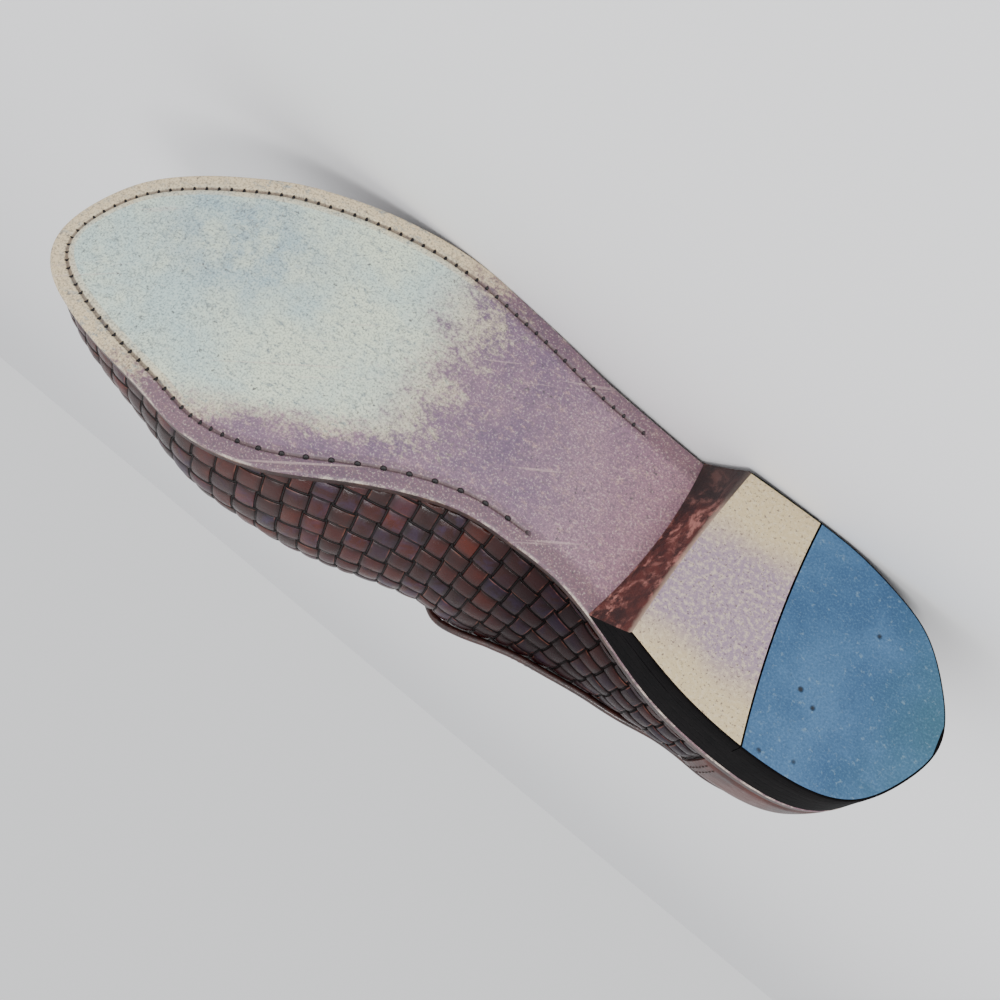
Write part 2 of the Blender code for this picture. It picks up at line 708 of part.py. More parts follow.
def vamp_points(ahead, aside, height):
    """Points on the vamp, from the knot: ahead to the toe, aside towards the floor side."""
    along = (THROAT * LENGTH + KNOT_AHEAD + np.asarray(ahead)) / LENGTH
    share = (along - RIDGE[0]) / (RIDGE[1] - RIDGE[0])
    turns = np.arccos(1 - 2 * share)
    turns = np.where(np.asarray(aside) < 0, 2 * np.pi - turns, turns)
    lengths = climb(turns)[1][:, -1] - np.abs(aside)
    return wall_at(turns, lengths[:, None], np.asarray(height)[:, None])[:, 0]


def build_collar_lace():
    """The thong round the collar. It goes in through the wall short of the throat."""
    half = even_turns(2 * STATION_STEP)
    half = half[top_line(half)[:, 0] < THROAT * LENGTH - LACE_DROP]
    turns = np.concatenate([2 * np.pi - half[:0:-1], half])
    lengths = climb(turns)[1][:, -1] - LACE_DROP
    lift_off = LACE_DIAMETER / 2 + 2 * GAP
    route = wall_at(turns, lengths[:, None], np.full((len(turns), 1), lift_off))[:, 0]
    thong("collar_lace", route, LACE_DIAMETER)


def build_knot():
    lift_off = KNOT_SIZE[2] / 2 + WEAVE_RELIEF + GAP
    centre = vamp_points([0.0], [0.0], [lift_off])[0]
    before, after = vamp_points([-0.004, 0.004], [0.0, 0.0], [lift_off, lift_off])
    body = bmesh.new()
    bmesh.ops.create_uvsphere(body, u_segments=14, v_segments=8, radius=0.5)
    mesh = bpy.data.meshes.new("lace_knot")
    pitch = math.atan2(before[2] - after[2], after[0] - before[0])
    placed = Matrix.Translation(Vector(centre)) @ Matrix.Rotation(pitch, 4, "Y")
    bmesh.ops.transform(body, matrix=placed @ Matrix.Diagonal((*KNOT_SIZE, 1)), verts=body.verts)
    body.to_mesh(mesh)
    body.free()
    add_object("lace_knot", mesh)


def lace_end_route(heading, sideways, count):
    """The way of a loose end: out of the knot sideways, then round to its heading."""
    share = np.linspace(0, 1, count)
    start = KNOT_SIZE[0] / 2 + GAP
    aim, leave = math.radians(heading), math.radians(sideways)
    reach = start + share * LACE_END_REACH
    swing = math.sin(leave) * LACE_END_REACH * 0.45 * np.sin(np.pi * share)
    ahead = reach * math.cos(aim) - swing * math.sin(aim)
    aside = reach * math.sin(aim) + swing * math.cos(aim)
    low = KNOT_SIZE[2] / 2 + WEAVE_RELIEF
    high = CAP_RADIUS + WEAVE_RELIEF + GAP
    return vamp_points(ahead, aside, low + (high - low) * share)


def build_tassel(name, heading):
    """A cap and a skirt of strips, along the vamp beyond the end of its thong."""
    start = KNOT_SIZE[0] / 2 + GAP + LACE_END_REACH + CAP_GAP
    aim = math.radians(heading)
    profile = (
        (0.000, 0.0),
        (0.000, 0.55),
        (0.120, 0.95),
        (0.250, 1.00),
        (0.270, 0.80),
        (0.330, 0.95),
        (0.600, 1.36),
        (1.000, SKIRT_RADIUS / CAP_RADIUS),
        (0.980, 0.0),
    )
    length = CAP_LENGTH + SKIRT_LENGTH
    share, size = column(profile, 0), column(profile, 1) * CAP_RADIUS
    reach = start + share * length
    clear = WEAVE_RELIEF + GAP + CAP_RADIUS + (SKIRT_RADIUS - CAP_RADIUS) * share
    middle = vamp_points(reach * math.cos(aim), reach * math.sin(aim), clear)
    ahead = middle[-2] - middle[0]
    ahead /= np.linalg.norm(ahead)
    up = np.array([0.0, 0.0, 1.0])
    aside = np.cross(ahead, up)
    aside /= np.linalg.norm(aside)
    up = np.cross(aside, ahead)
    angle = np.arange(2 * STRIP_COUNT) * np.pi / STRIP_COUNT
    fluted = np.where(share > 0.26, STRIP_DEPTH, 0.0)[:, None] * (np.arange(2 * STRIP_COUNT) % 2)[None, :]
    radius = np.maximum(size[:, None] - fluted * (size > 0)[:, None], 0)
    spread = radius[..., None] * (
        np.cos(angle)[None, :, None] * aside + np.sin(angle)[None, :, None] * up
    )
    solid(name, [(middle[:, None] + spread, True)])


def lying_matrix(parts):
    """The pose at rest on the outer side, rolled until the weight falls inside what touches."""
    corners, volume, centre = [], 0.0, np.zeros(3)
    for obj in parts:
        mesh = obj.data
        mesh.calc_loop_triangles()
        points = np.array([vertex.co for vertex in mesh.vertices])
        a, b, c = points[[tri.vertices[:] for tri in mesh.loop_triangles]].transpose(1, 0, 2)
        sixth = np.einsum("ij,ij->i", a, np.cross(b, c)) / 6
        volume += sixth.sum()
        centre += (sixth[:, None] * (a + b + c) / 4).sum(0)
        corners.append(points)
    centre /= volume
    hull = bmesh.new()
    for point in np.concatenate(corners):
        hull.verts.new(point)
    bmesh.ops.convex_hull(hull, input=hull.verts)
    hull.normal_update()
    faces = [face for face in hull.faces if face.calc_area() > 1e-9]
    normals = np.array([face.normal for face in faces])
    reach = np.array([face.normal.dot(face.verts[0].co) for face in faces])
    outside = reach < normals @ centre
    normals[outside] *= -1
    reach[outside] *= -1
    hull.free()
    down = np.array([0.0, 1.0, 0.0])
    for _ in range(50):
        towards = normals @ down
        far = np.where(towards > 1e-6, (reach - normals @ centre) / np.maximum(towards, 1e-9), np.inf)
        lowest = normals[np.argmin(far)]
        if np.allclose(lowest, down):
            break
        down = lowest
    up = Vector(-down)
    toe = Vector((1, 0, 0))
    toe = (toe - up * toe.dot(up)).normalized()
    turned = Matrix((toe, up.cross(toe), up)).to_4x4()
    world = np.concatenate(corners) @ np.array(turned.to_3x3()).T
    low, high = world.min(0), world.max(0)
    shift = Vector((-(low[0] + high[0]) / 2, -(low[1] + high[1]) / 2, -low[2]))
    return Matrix.Translation(shift) @ turned


def add_mount(name, x):
    """An empty on the tread, on the centre line of the sole, its z axis out of the tread."""
    turn = math.acos(1 - 2 * x / LENGTH)
    y = outline(np.array([turn, 2 * math.pi - turn]))[:, 1].mean()
    mount = bpy.data.objects.new(name, None)
    mount.location = (x, y, 0)
    mount.rotation_euler = (math.pi, 0, 0)
    mount.empty_display_size = 0.01
    mount.parent = rest
    shoe.objects.link(mount)


for old in list(bpy.data.objects):
    bpy.data.objects.remove(old)
shoe = bpy.data.collections.new("tassel_loafer")
bpy.context.scene.collection.children.link(shoe)
rest = bpy.data.objects.new("rest", None)
shoe.objects.link(rest)

build_outsole()
build_insole()
build_heel()
build_upper()
build_heel_patch()
build_apron_seam()
build_binding()
rest.matrix_world = lying_matrix([obj for obj in shoe.objects if obj.type == "MESH"])
build_collar_lace()
build_knot()
for end, heading, sideways in LACE_ENDS:
    thong("lace_end_" + end, lace_end_route(heading, sideways, 9), LACE_DIAMETER)
    build_tassel("tassel_" + end, heading)
add_mount("heel_tread_mount", HEEL_MOUNT_AT)
add_mount("forefoot_tread_mount", FOREFOOT_MOUNT_AT)
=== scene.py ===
import json
import math
from functools import cached_property

import bmesh
import bpy
import numpy as np
from mathutils import Matrix, Vector


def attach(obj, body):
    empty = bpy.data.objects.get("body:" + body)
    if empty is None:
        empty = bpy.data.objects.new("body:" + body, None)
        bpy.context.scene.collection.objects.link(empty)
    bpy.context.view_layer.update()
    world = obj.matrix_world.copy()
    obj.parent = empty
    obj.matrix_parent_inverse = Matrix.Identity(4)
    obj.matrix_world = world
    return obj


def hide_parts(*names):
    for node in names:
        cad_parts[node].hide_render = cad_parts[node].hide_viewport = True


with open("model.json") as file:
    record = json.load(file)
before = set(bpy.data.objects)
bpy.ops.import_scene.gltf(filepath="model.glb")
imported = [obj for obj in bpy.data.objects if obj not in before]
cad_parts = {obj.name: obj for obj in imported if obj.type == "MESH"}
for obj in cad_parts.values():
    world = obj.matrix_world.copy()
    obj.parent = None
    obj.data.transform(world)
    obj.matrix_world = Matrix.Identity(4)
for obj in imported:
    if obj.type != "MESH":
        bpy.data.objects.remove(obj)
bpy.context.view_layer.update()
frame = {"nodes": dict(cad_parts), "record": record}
print("frame loaded")

# ---- the last and the pattern, as in the CAD source; metres in the shoe's own frame:
# x heel to toe, y to the little-toe side, z up from the tread

last = {
    "length": 0.300,
    "ball": 0.092,
    "waist": 0.062,
    "heel": 0.0735,
    "swing": 0.026,
    "heelHeight": 0.021,
    "toeSpring": 0.012,
    "instep": 0.073,
    "cone": 0.118,
    "back": 0.086,
    "side": 0.073,
    "sole": 0.005,
    "throat": 0.555,
    "ridge": (0.09, 0.905),
    "fullness": 0.78,
    "tuck": 0.0048,
    "wall": 0.002,
    "gap": 0.0003,
    "patch": 0.052,
}


def scaled(parts):
    # rows of shares, each group's last column times the measure that it is a share of
    return np.array([(*row[:-1], last[part] * row[-1]) for part, rows in parts for row in rows])


soleOutline = scaled((
    ("heel", (
        (0.000, 0.06, 0.000), (0.020, 0.06, 0.224), (0.050, 0.07, 0.372), (0.100, 0.12, 0.466),
        (0.150, 0.22, 0.498), (0.200, 0.32, 0.500), (0.260, 0.47, 0.480), (0.320, 0.67, 0.439))),
    ("waist", (
        (0.380, 0.85, 0.487), (0.440, 0.94, 0.490), (0.490, 1.00, 0.514), (0.548, 0.97, 0.574))),
    ("ball", (
        (0.604, 0.88, 0.439), (0.664, 0.74, 0.486), (0.714, 0.66, 0.500), (0.757, 0.62, 0.489),
        (0.813, 0.63, 0.440), (0.870, 0.61, 0.378), (0.922, 0.58, 0.306), (0.962, 0.53, 0.224),
        (0.986, 0.46, 0.136), (1.000, 0.40, 0.000))),
))
undersideLine = np.array([
    (0.00, 1.000, 0.00), (0.24, 0.965, 0.00), (0.34, 0.820, 0.00), (0.43, 0.590, 0.00),
    (0.53, 0.270, 0.00), (0.61, 0.050, 0.00), (0.66, 0.000, 0.00), (0.79, 0.000, 0.00),
    (0.87, 0.000, 0.24), (0.94, 0.000, 0.60), (1.00, 0.000, 1.00),
])
topProfile = scaled((
    ("cone", ((0.00, 1.00), (0.30, 0.96), (0.42, 0.83))),
    ("instep", (
        (0.50, 1.14), (0.56, 1.00), (0.64, 0.83), (0.73, 0.68), (0.82, 0.575), (0.90, 0.51), (1.00, 0.47))),
))
collarProfile = scaled((
    ("back", ((0.00, 1.00), (0.09, 0.985))),
    ("side", ((0.20, 1.045), (0.32, 1.00), (0.45, 1.00))),
    ("instep", ((0.56, 1.00),)),
))
wallShape = np.array([
    (0.00, 0.0012, 0.0035, 0.0035), (0.15, 0.0012, 0.0045, 0.0012), (0.25, 0.0010, 0.0054, 0.0065),
    (0.33, 0.0008, 0.0060, 0.0148), (0.40, 0.0008, 0.0058, 0.0232), (0.47, 0.0008, 0.0055, 0.0266),
    (0.60, 0.0015, 0.0045, 0.0240), (0.72, 0.0024, 0.0040, 0.0150), (0.82, 0.0024, 0.0038, 0.0105),
    (0.93, 0.0024, 0.0032, 0.0070), (1.00, 0.0024, 0.0030, 0.0030),
])
tuckShape = np.array([
    (0.00, 1.00, 1.00), (0.12, 1.00, 0.95), (0.20, 1.00, 1.35), (0.27, 1.00, 0.60),
    (0.34, 1.00, -0.30), (0.41, 0.71, 0.10), (0.50, 0.00, 0.00), (1.00, 0.00, 0.00),
])
apronLine = np.array([(0.50, 0.64), (0.60, 0.56), (0.72, 0.47), (0.91, 0.45)])


def spline(knots, values, at):
    # natural cubic through the knots
    step, size = np.diff(knots), len(knots)
    rise = np.diff(values) / step
    system, right = np.eye(size), np.zeros(size)
    for i in range(1, size - 1):
        system[i, i - 1 : i + 2] = step[i - 1], 2 * (step[i - 1] + step[i]), step[i]
        right[i] = 6 * (rise[i] - rise[i - 1])
    bend = np.linalg.solve(system, right)
    i = np.clip(np.searchsorted(knots, at) - 1, 0, size - 2)
    a, b = at - knots[i], knots[i + 1] - at
    return (
        (bend[i] * b**3 + bend[i + 1] * a**3) / (6 * step[i])
        + (values[i] / step[i] - bend[i] * step[i] / 6) * b
        + (values[i + 1] / step[i] - bend[i + 1] * step[i] / 6) * a
    )


def steady(knots, values, at):
    # cubic with harmonic-mean slopes, so it never swings past its knots
    step = np.diff(knots)
    rise = np.diff(values) / step
    slope = np.concatenate([rise[:1], np.zeros(len(knots) - 2), rise[-1:]])
    before, after = rise[:-1], rise[1:]
    same = before * after > 0
    slope[1:-1][same] = 2 * before[same] * after[same] / (before[same] + after[same])
    i = np.clip(np.searchsorted(knots, at) - 1, 0, len(knots) - 2)
    t = np.clip((at - knots[i]) / step[i], 0, 1)
    return (
        values[i] * (1 + 2 * t) * (1 - t) ** 2
        + values[i + 1] * t**2 * (3 - 2 * t)
        + step[i] * t * (1 - t) * (slope[i] * (1 - t) - slope[i + 1] * t)
    )


def sided(table, index, along, side):
    # a table's value on the little-toe side, or the next column's on the big-toe side
    outer, inner = (steady(table[:, 0], table[:, i], along) for i in (index, index + 1))
    return np.where(side > 0, outer, inner)


def ease(share):
    # from 0 to 1 as 3 t^2 - 2 t^3, level at both ends
    share = np.clip(share, 0, 1)
    return share * share * (3 - 2 * share)


def unit(vectors):
    return vectors / np.maximum(np.linalg.norm(vectors, axis=-1, keepdims=True), 1e-12)


def runAlong(points):
    return np.concatenate([[0], np.cumsum(np.linalg.norm(np.diff(points, axis=0), axis=1))])


def columnsAt(at, knots, table):
    return np.stack([np.interp(at, knots, table[:, k]) for k in range(table.shape[1])], -1)


def fold(turn):
    # a turn as its angle from the heel and the side it is on
    turn = np.mod(turn, 2 * np.pi)
    return np.where(turn > np.pi, 2 * np.pi - turn, turn), np.where(turn > np.pi, -1.0, 1.0)


def alongOf(turn):
    return (1 - np.cos(fold(turn)[0])) / 2


def angleAt(x):
    return math.acos(1 - 2 * x / last["length"])


outlineKnots = np.arccos(1 - 2 * soleOutline[:, 0])


def centreLine(angle):
    return spline(outlineKnots, soleOutline[:, 1] * last["swing"], angle)


def outline(turn):
    # the sole's edge: centre line plus or minus the half-width, both splines of the turn
    angle, side = fold(turn)
    half = spline(outlineKnots, soleOutline[:, 2], angle)
    return np.stack([alongOf(turn) * last["length"], centreLine(angle) + side * half], -1)


def outward(turn):
    ahead = outline(turn + 1e-3) - outline(turn - 1e-3)
    return unit(np.stack([-ahead[..., 1], ahead[..., 0]], -1))


def edge(turn, inset):
    return outline(turn) - outward(turn) * np.asarray(inset)[..., None]


def underside(x):
    at = x / last["length"]
    heelPart = steady(undersideLine[:, 0], undersideLine[:, 1] * last["heelHeight"], at)
    return heelPart + steady(undersideLine[:, 0], undersideLine[:, 2] * last["toeSpring"], at)


def lift(plan, height):
    return np.concatenate([plan, np.asarray(height)[..., None]], -1)


def footOfWall(turn):
    plan = edge(turn, steady(wallShape[:, 0], wallShape[:, 1], alongOf(turn)))
    return lift(plan, underside(plan[..., 0]) + last["sole"] + last["gap"])


def topLine(turn):
    along = last["ridge"][0] + (last["ridge"][1] - last["ridge"][0]) * alongOf(turn)
    height = steady(topProfile[:, 0], topProfile[:, 1], along)
    return np.stack([along * last["length"], centreLine(np.arccos(1 - 2 * along)), height], -1)


def wallPoint(turn, rise):
    # from the foot to the top line: plan leans in as 1 - cos^fullness, height as sin
    foot, top = footOfWall(turn), topLine(turn)
    along, side = alongOf(turn), fold(turn)[1]
    lean = (1 - np.clip(np.cos(rise), 0, 1) ** last["fullness"])[..., None]
    tuck = last["tuck"] * sided(tuckShape, 1, along, side) * ease((rise - 0.2) / 0.4)
    out = sided(wallShape, 2, along, side) * np.sin(np.clip(2 * rise, 0, np.pi)) - tuck
    plan = foot[..., :2] * (1 - lean) + top[..., :2] * lean + outward(turn) * out[..., None]
    return lift(plan, foot[..., 2] + (top[..., 2] - foot[..., 2]) * np.sin(rise))


def wallNormal(turn, rise):
    low, high = np.clip(rise - 0.02, 0, np.pi / 2), np.clip(rise + 0.02, 0, np.pi / 2)
    up = wallPoint(turn, high) - wallPoint(turn, low)
    around = wallPoint(turn + 4e-3, rise) - wallPoint(turn - 4e-3, rise)
    normal = np.cross(up, around)
    normal[rise <= 1e-6, 2] = 0
    folded = np.clip(fold(turn)[0], 0.02, np.pi - 0.02)
    ahead = topLine(folded + 0.02) - topLine(folded - 0.02)
    square = unit(np.stack([-ahead[..., 2], np.zeros_like(rise), ahead[..., 0]], -1))
    onTop = (rise >= np.pi / 2 - 1e-6)[..., None]
    return unit(np.where(onTop, square, normal))


def pastThroat(turns):
    # how far ahead of the throat the top line is
    return topLine(turns)[:, 0] - last["throat"] * last["length"]


def collarRise(turn):
    # the rise whose sine reaches the collar's height, and the top line past the throat
    foot, top = footOfWall(turn), topLine(turn)
    along = top[..., 0] / last["length"]
    height = steady(collarProfile[:, 0], collarProfile[:, 1], along)
    share = np.clip((height - foot[..., 2]) / (top[..., 2] - foot[..., 2]), 0, 1)
    return np.where(along >= last["throat"], np.pi / 2, np.arcsin(share))


def climb(turns):
    # length of the wall from the sole at evenly spaced rises
    count = 80
    rises = np.linspace(0, 1, count)[None, :] * collarRise(turns)[:, None]
    points = wallPoint(np.repeat(turns[:, None], count, 1), rises)
    steps = np.linalg.norm(np.diff(points, axis=1), axis=2)
    return rises, np.concatenate([np.zeros((len(turns), 1)), np.cumsum(steps, axis=1)], 1)


def topLength(turns):
    return climb(turns)[1][:, -1]


def riseAt(turns, lengths):
    rises, run = climb(turns)
    return np.stack([np.interp(lengths[i], run[i], rises[i]) for i in range(len(turns))])


def wallAt(turns, lengths, height):
    rises = riseAt(turns, lengths)
    across = np.repeat(turns[:, None], lengths.shape[1], 1)
    height = np.broadcast_to(height, lengths.shape)[..., None]
    return wallPoint(across, rises) + wallNormal(across, rises) * height


def evenTurns(step, first=0.0, final=math.pi):
    # turns from heel to toe an even run apart
    fine = np.linspace(0, np.pi, 600)
    both = [np.linalg.norm(np.diff(outline(side * fine), axis=0), axis=1) for side in (1, -1)]
    run = np.concatenate([[0], np.cumsum(np.mean(both, axis=0))])
    low, high = np.interp([first, final], fine, run)
    return np.interp(np.linspace(low, high, round((high - low) / step) + 1), run, fine)


def ringTurns(turns):
    return np.concatenate([turns, 2 * np.pi - turns[-2:0:-1]])


def seamLength(turns):
    share = steady(apronLine[:, 0], apronLine[:, 1], topLine(turns)[:, 0] / last["length"])
    return share * topLength(turns)


# ---- the pose at rest, from the two mounts on the tread

mounts = {mount["name"]: mount for mount in frame["record"]["mounts"]}


def restFrame():
    places, centres = [], []
    for name, x in (("heel_tread", 0.026), ("forefoot_tread", 0.216)):
        centres.append((x, float(centreLine(np.array([angleAt(x)]))[0])))
        places.append(np.array(mounts[name]["pos_m"]))
    up = unit(-np.array(mounts["heel_tread"]["axis"]))
    lead = places[1] - places[0]
    lead = unit(lead - up * (lead @ up))
    turn = math.atan2(centres[1][1] - centres[0][1], centres[1][0] - centres[0][0])
    ahead = lead * math.cos(turn) - np.cross(up, lead) * math.sin(turn)
    aside = np.cross(up, ahead)
    origin = places[0] - centres[0][0] * ahead - centres[0][1] * aside
    return np.stack([ahead, aside, up]), origin


restAxes, restOrigin = restFrame()


def toWorld(points):
    return points @ restAxes + restOrigin


# ---- camera, floor and light

view = {
    "turn": (0.02278719, -0.43680465, -2.58622744),  # the shoe as the photo's camera sees it
    "shift": (0.12200915, 0.06880383, 0.27144536),
    "focal": 0.99755,
    "sensor": 36,
}


def addObject(name, data):
    made = bpy.data.objects.new(name, data)
    bpy.context.scene.collection.objects.link(made)
    return made


def addCamera():
    turn = Vector(view["turn"])
    seen = np.array(Matrix.Rotation(turn.length, 3, turn.normalized()))
    camera = addObject("photoCamera", bpy.data.cameras.new("photoCamera"))
    camera.data.sensor_width = view["sensor"]
    camera.data.lens = view["sensor"] * view["focal"]
    camera.data.clip_start = 0.01
    place = np.eye(4)
    place[:3, :3] = (np.stack([seen[0], -seen[1], -seen[2]]) @ restAxes).T  # right, up, back
    place[:3, 3] = toWorld(-seen.T @ np.array(view["shift"]))
    camera.matrix_world = Matrix(place)
    bpy.context.scene.camera = camera
    print("camera at", np.round(place[:3, 3], 3))


addCamera()

light = {
    "world": 1.06,
    "sky": (0.97, 0.98, 1.0, 1),
    "lamps": (  # power, size and place in the world
        ("key", 24.0, 0.45, (-0.75, -1.35, 1.15)),
        ("fill", 5.0, 1.20, (1.10, -1.30, 0.70)),
        ("top", 5.0, 1.60, (0.10, 0.20, 1.90)),
    ),
    "aim": (0, 0, 0.05),
    "floor": (0.87, 0.87, 0.88, 1),
    "reach": 6,
}


def addLight(name, power, size, place):
    lamp = bpy.data.lights.new(name, "AREA")
    lamp.energy, lamp.size = power, size
    made = addObject(name, lamp)
    made.location = place
    aim = Vector(light["aim"]) - Vector(place)
    made.rotation_euler = aim.to_track_quat("-Z", "Y").to_euler()


for lamp in light["lamps"]:
    addLight(*lamp)
world = bpy.data.worlds.new("softRoom")
world.use_nodes = True
background = world.node_tree.nodes["Background"]
background.inputs["Color"].default_value = light["sky"]
background.inputs["Strength"].default_value = light["world"]
bpy.context.scene.world = world
floorMesh = bpy.data.meshes.new("floor")
corners = [(x * light["reach"], y * light["reach"], 0) for x, y in ((-1, -1), (1, -1), (1, 1), (-1, 1))]
floorMesh.from_pydata(corners, [], [(0, 1, 2, 3)])
floor = addObject("floor", floorMesh)


# ---- finishes: a signal is one output of a material's nodes, and its arithmetic adds math nodes

def paint(red, green, blue):
    # an 8-bit screen colour as linear light
    share = np.array([red, green, blue]) / 255
    return (*np.where(share <= 0.04045, share / 12.92, ((share + 0.055) / 1.055) ** 2.4).tolist(), 1)


class Signal:
    def __init__(self, finish, socket):
        self.finish, self.socket = finish, socket

    def calc(self, operation, *others):
        return self.finish.node("ShaderNodeMath", dict(enumerate((self, *others))), operation=operation)

    def __add__(self, other):
        return self.calc("ADD", other)

    def __sub__(self, other):
        return self.calc("SUBTRACT", other)

    def __mul__(self, other):
        return self.calc("MULTIPLY", other)

    def __truediv__(self, other):
        return self.calc("DIVIDE", other)

    def __abs__(self):
        return self.calc("ABSOLUTE")

    def away(self, other):
        # length of a plane vector with these two sides
        return (self.calc("POWER", 2.0) + other.calc("POWER", 2.0)).calc("SQRT")

    def span(self, low, high, toLow=0.0, toHigh=1.0):
        inputs = {"Value": self, "From Min": low, "From Max": high, "To Min": toLow, "To Max": toHigh}
        return self.finish.node("ShaderNodeMapRange", inputs, interpolation_type="SMOOTHSTEP")

    def mix(self, first, second):
        inputs = {0: self, 6: first, 7: second}
        return self.finish.node("ShaderNodeMix", inputs, 2, data_type="RGBA")

    def split(self):
        parts = self.finish.node("ShaderNodeSeparateXYZ", {"Vector": self}).socket.node.outputs
        return [Signal(self.finish, part) for part in parts]


class Finish:
    def __init__(self, name, sockets=None, stored=True):
        self.made, self.stored = bpy.data.materials.new(name), stored
        self.made.use_nodes = True
        self.tree = self.made.node_tree
        for socket, value in (sockets or {}).items():
            self.shader(socket).default_value = value

    def shader(self, socket):
        return self.tree.nodes["Principled BSDF"].inputs[socket]

    def node(self, kind, inputs, output=0, **settings):
        made = self.tree.nodes.new(kind)
        for key, value in settings.items():
            setattr(made, key, value)
        for key, value in inputs.items():
            if isinstance(value, Signal):
                self.tree.links.new(value.socket, made.inputs[key])
            else:
                made.inputs[key].default_value = value
        return Signal(self, made.outputs[output])

    @cached_property
    def place(self):
        # a point's place in the shoe's frame, stored on the mesh, or in the object's own frame
        if self.stored:
            return self.node("ShaderNodeAttribute", {}, "Vector", attribute_name="shoePlace")
        return self.node("ShaderNodeTexCoord", {}, "Object")

    def pattern(self):
        return self.node("ShaderNodeUVMap", {}, uv_map="pattern").split()

    def stretch(self, scale, place=None):
        return self.node("ShaderNodeMapping", {"Vector": place or self.place, "Scale": scale})

    def noise(self, scale, detail=4.0, rough=0.55, twist=0.0, place=None):
        inputs = {"Vector": place or self.place, "Scale": scale, "Detail": detail,
                  "Roughness": rough, "Distortion": twist}
        return self.node("ShaderNodeTexNoise", inputs, "Fac")

    def link(self, socket, signal):
        self.tree.links.new(signal.socket, self.shader(socket))

    def done(self, colour, height, distance, layers=()):
        # paints laid over the colour, each by its share, and the height as a bump
        for share, tone in layers:
            colour = share.mix(colour, tone)
        self.link("Base Color", colour)
        inputs = {"Height": height, "Distance": distance, "Strength": 1.0}
        self.link("Normal", self.node("ShaderNodeBump", inputs))
        return self.made


floorMesh.materials.append(Finish("paleFloor", {"Roughness": 0.9, "Base Color": light["floor"]}).made)


# ---- mesh helpers

def gridFaces(rows, columns):
    r, c = np.meshgrid(np.arange(rows - 1), np.arange(columns - 1), indexing="ij")
    a = r * columns + c
    return np.stack([a, a + 1, a + columns + 1, a + columns], -1).reshape(-1, 4)


def settle(name, data, replaces):
    made = addObject(name, data)
    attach(made, "root")
    if replaces:
        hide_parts(*replaces)
    return made


def addPiece(name, patches, finishes, replaces=(), sharp=40):
    # each patch is a grid of shoe-frame points with an optional map, values and finish number
    points, faces, maps, numbers, values, start = [], [], [], [], [], 0
    for patch in patches:
        grid = patch["points"]
        rows, columns = grid.shape[:2]
        quads = gridFaces(rows, columns)
        if "keep" in patch:
            quads = quads[patch["keep"].reshape(-1)]
        pattern = patch.get("map", np.zeros((rows, columns, 2))).reshape(-1, 2)
        points.append(grid.reshape(-1, 3))
        faces.append(quads + start)
        maps.append(pattern[quads])
        numbers.append(np.full(len(quads), patch.get("finish", 0)))
        values.append(np.broadcast_to(patch.get("value", 0.0), (rows, columns)).reshape(-1))
        start += rows * columns
    points, faces = np.concatenate(points), np.concatenate(faces)
    mesh = bpy.data.meshes.new(name)
    mesh.vertices.add(len(points))
    mesh.vertices.foreach_set("co", toWorld(points).astype(np.float32).ravel())
    mesh.loops.add(faces.size)
    mesh.loops.foreach_set("vertex_index", faces.astype(np.int32).ravel())
    mesh.polygons.add(len(faces))
    mesh.polygons.foreach_set("loop_start", np.arange(0, faces.size, 4, dtype=np.int32))
    mesh.polygons.foreach_set("material_index", np.concatenate(numbers).astype(np.int32))
    mesh.update(calc_edges=True)
    layer = mesh.uv_layers.new(name="pattern")
    layer.data.foreach_set("uv", np.concatenate(maps).astype(np.float32).ravel())
    stored = mesh.attributes.new("shoePlace", "FLOAT_VECTOR", "POINT")
    stored.data.foreach_set("vector", points.astype(np.float32).ravel())
    stored = mesh.attributes.new("amount", "FLOAT", "POINT")
    stored.data.foreach_set("value", np.concatenate(values).astype(np.float32))
    body = bmesh.new()
    body.from_mesh(mesh)
    bmesh.ops.remove_doubles(body, verts=body.verts, dist=3e-6)
    bmesh.ops.dissolve_degenerate(body, edges=body.edges, dist=2e-6)
    loose = [vertex for vertex in body.verts if not vertex.link_faces]
    bmesh.ops.delete(body, geom=loose, context="VERTS")
    bmesh.ops.recalc_face_normals(body, faces=body.faces)
    body.to_mesh(mesh)
    body.free()
    for finish in finishes:
        mesh.materials.append(finish)
    mesh.shade_smooth()
    mesh.set_sharp_from_angle(angle=math.radians(sharp))
    made = settle(name, mesh, replaces)
    print(name, len(mesh.polygons), "faces")
    return made


# ---- the outsole: worn leather with a sewn channel

outsole = {
    "rounding": 0.0011,
    "shoulder": 0.0005,
    "grooveInset": 0.0054,
    "grooveWidth": 0.00055,
    "grooveDepth": 0.0006,
    "lateralEnd": 0.111,  # where the channel stops, from the heel
    "medialEnd": 0.127,
    "finePitch": 0.0040,  # between stitch holes
    "waistPitch": 0.0072,
    "waistFrom": 0.206,  # the wide pitch runs behind this, on the big-toe side
}


def channelFade(x, side):
    final = np.where(side > 0, outsole["lateralEnd"], outsole["medialEnd"])
    return ease((x - final) / 0.004)


def stitchPhase(angles, side):
    # running count of stitches from the toe: the run divided by the local pitch
    points = outline(side * angles)
    wide = (side < 0) * (1 - ease((points[:, 0] - outsole["waistFrom"]) / 0.012))
    pitch = outsole["finePitch"] * (1 - wide) + outsole["waistPitch"] * wide
    back = np.diff(runAlong(points))[::-1] / ((pitch[1:] + pitch[:-1]) / 2)[::-1]
    return np.concatenate([[0], np.cumsum(back)])[::-1]


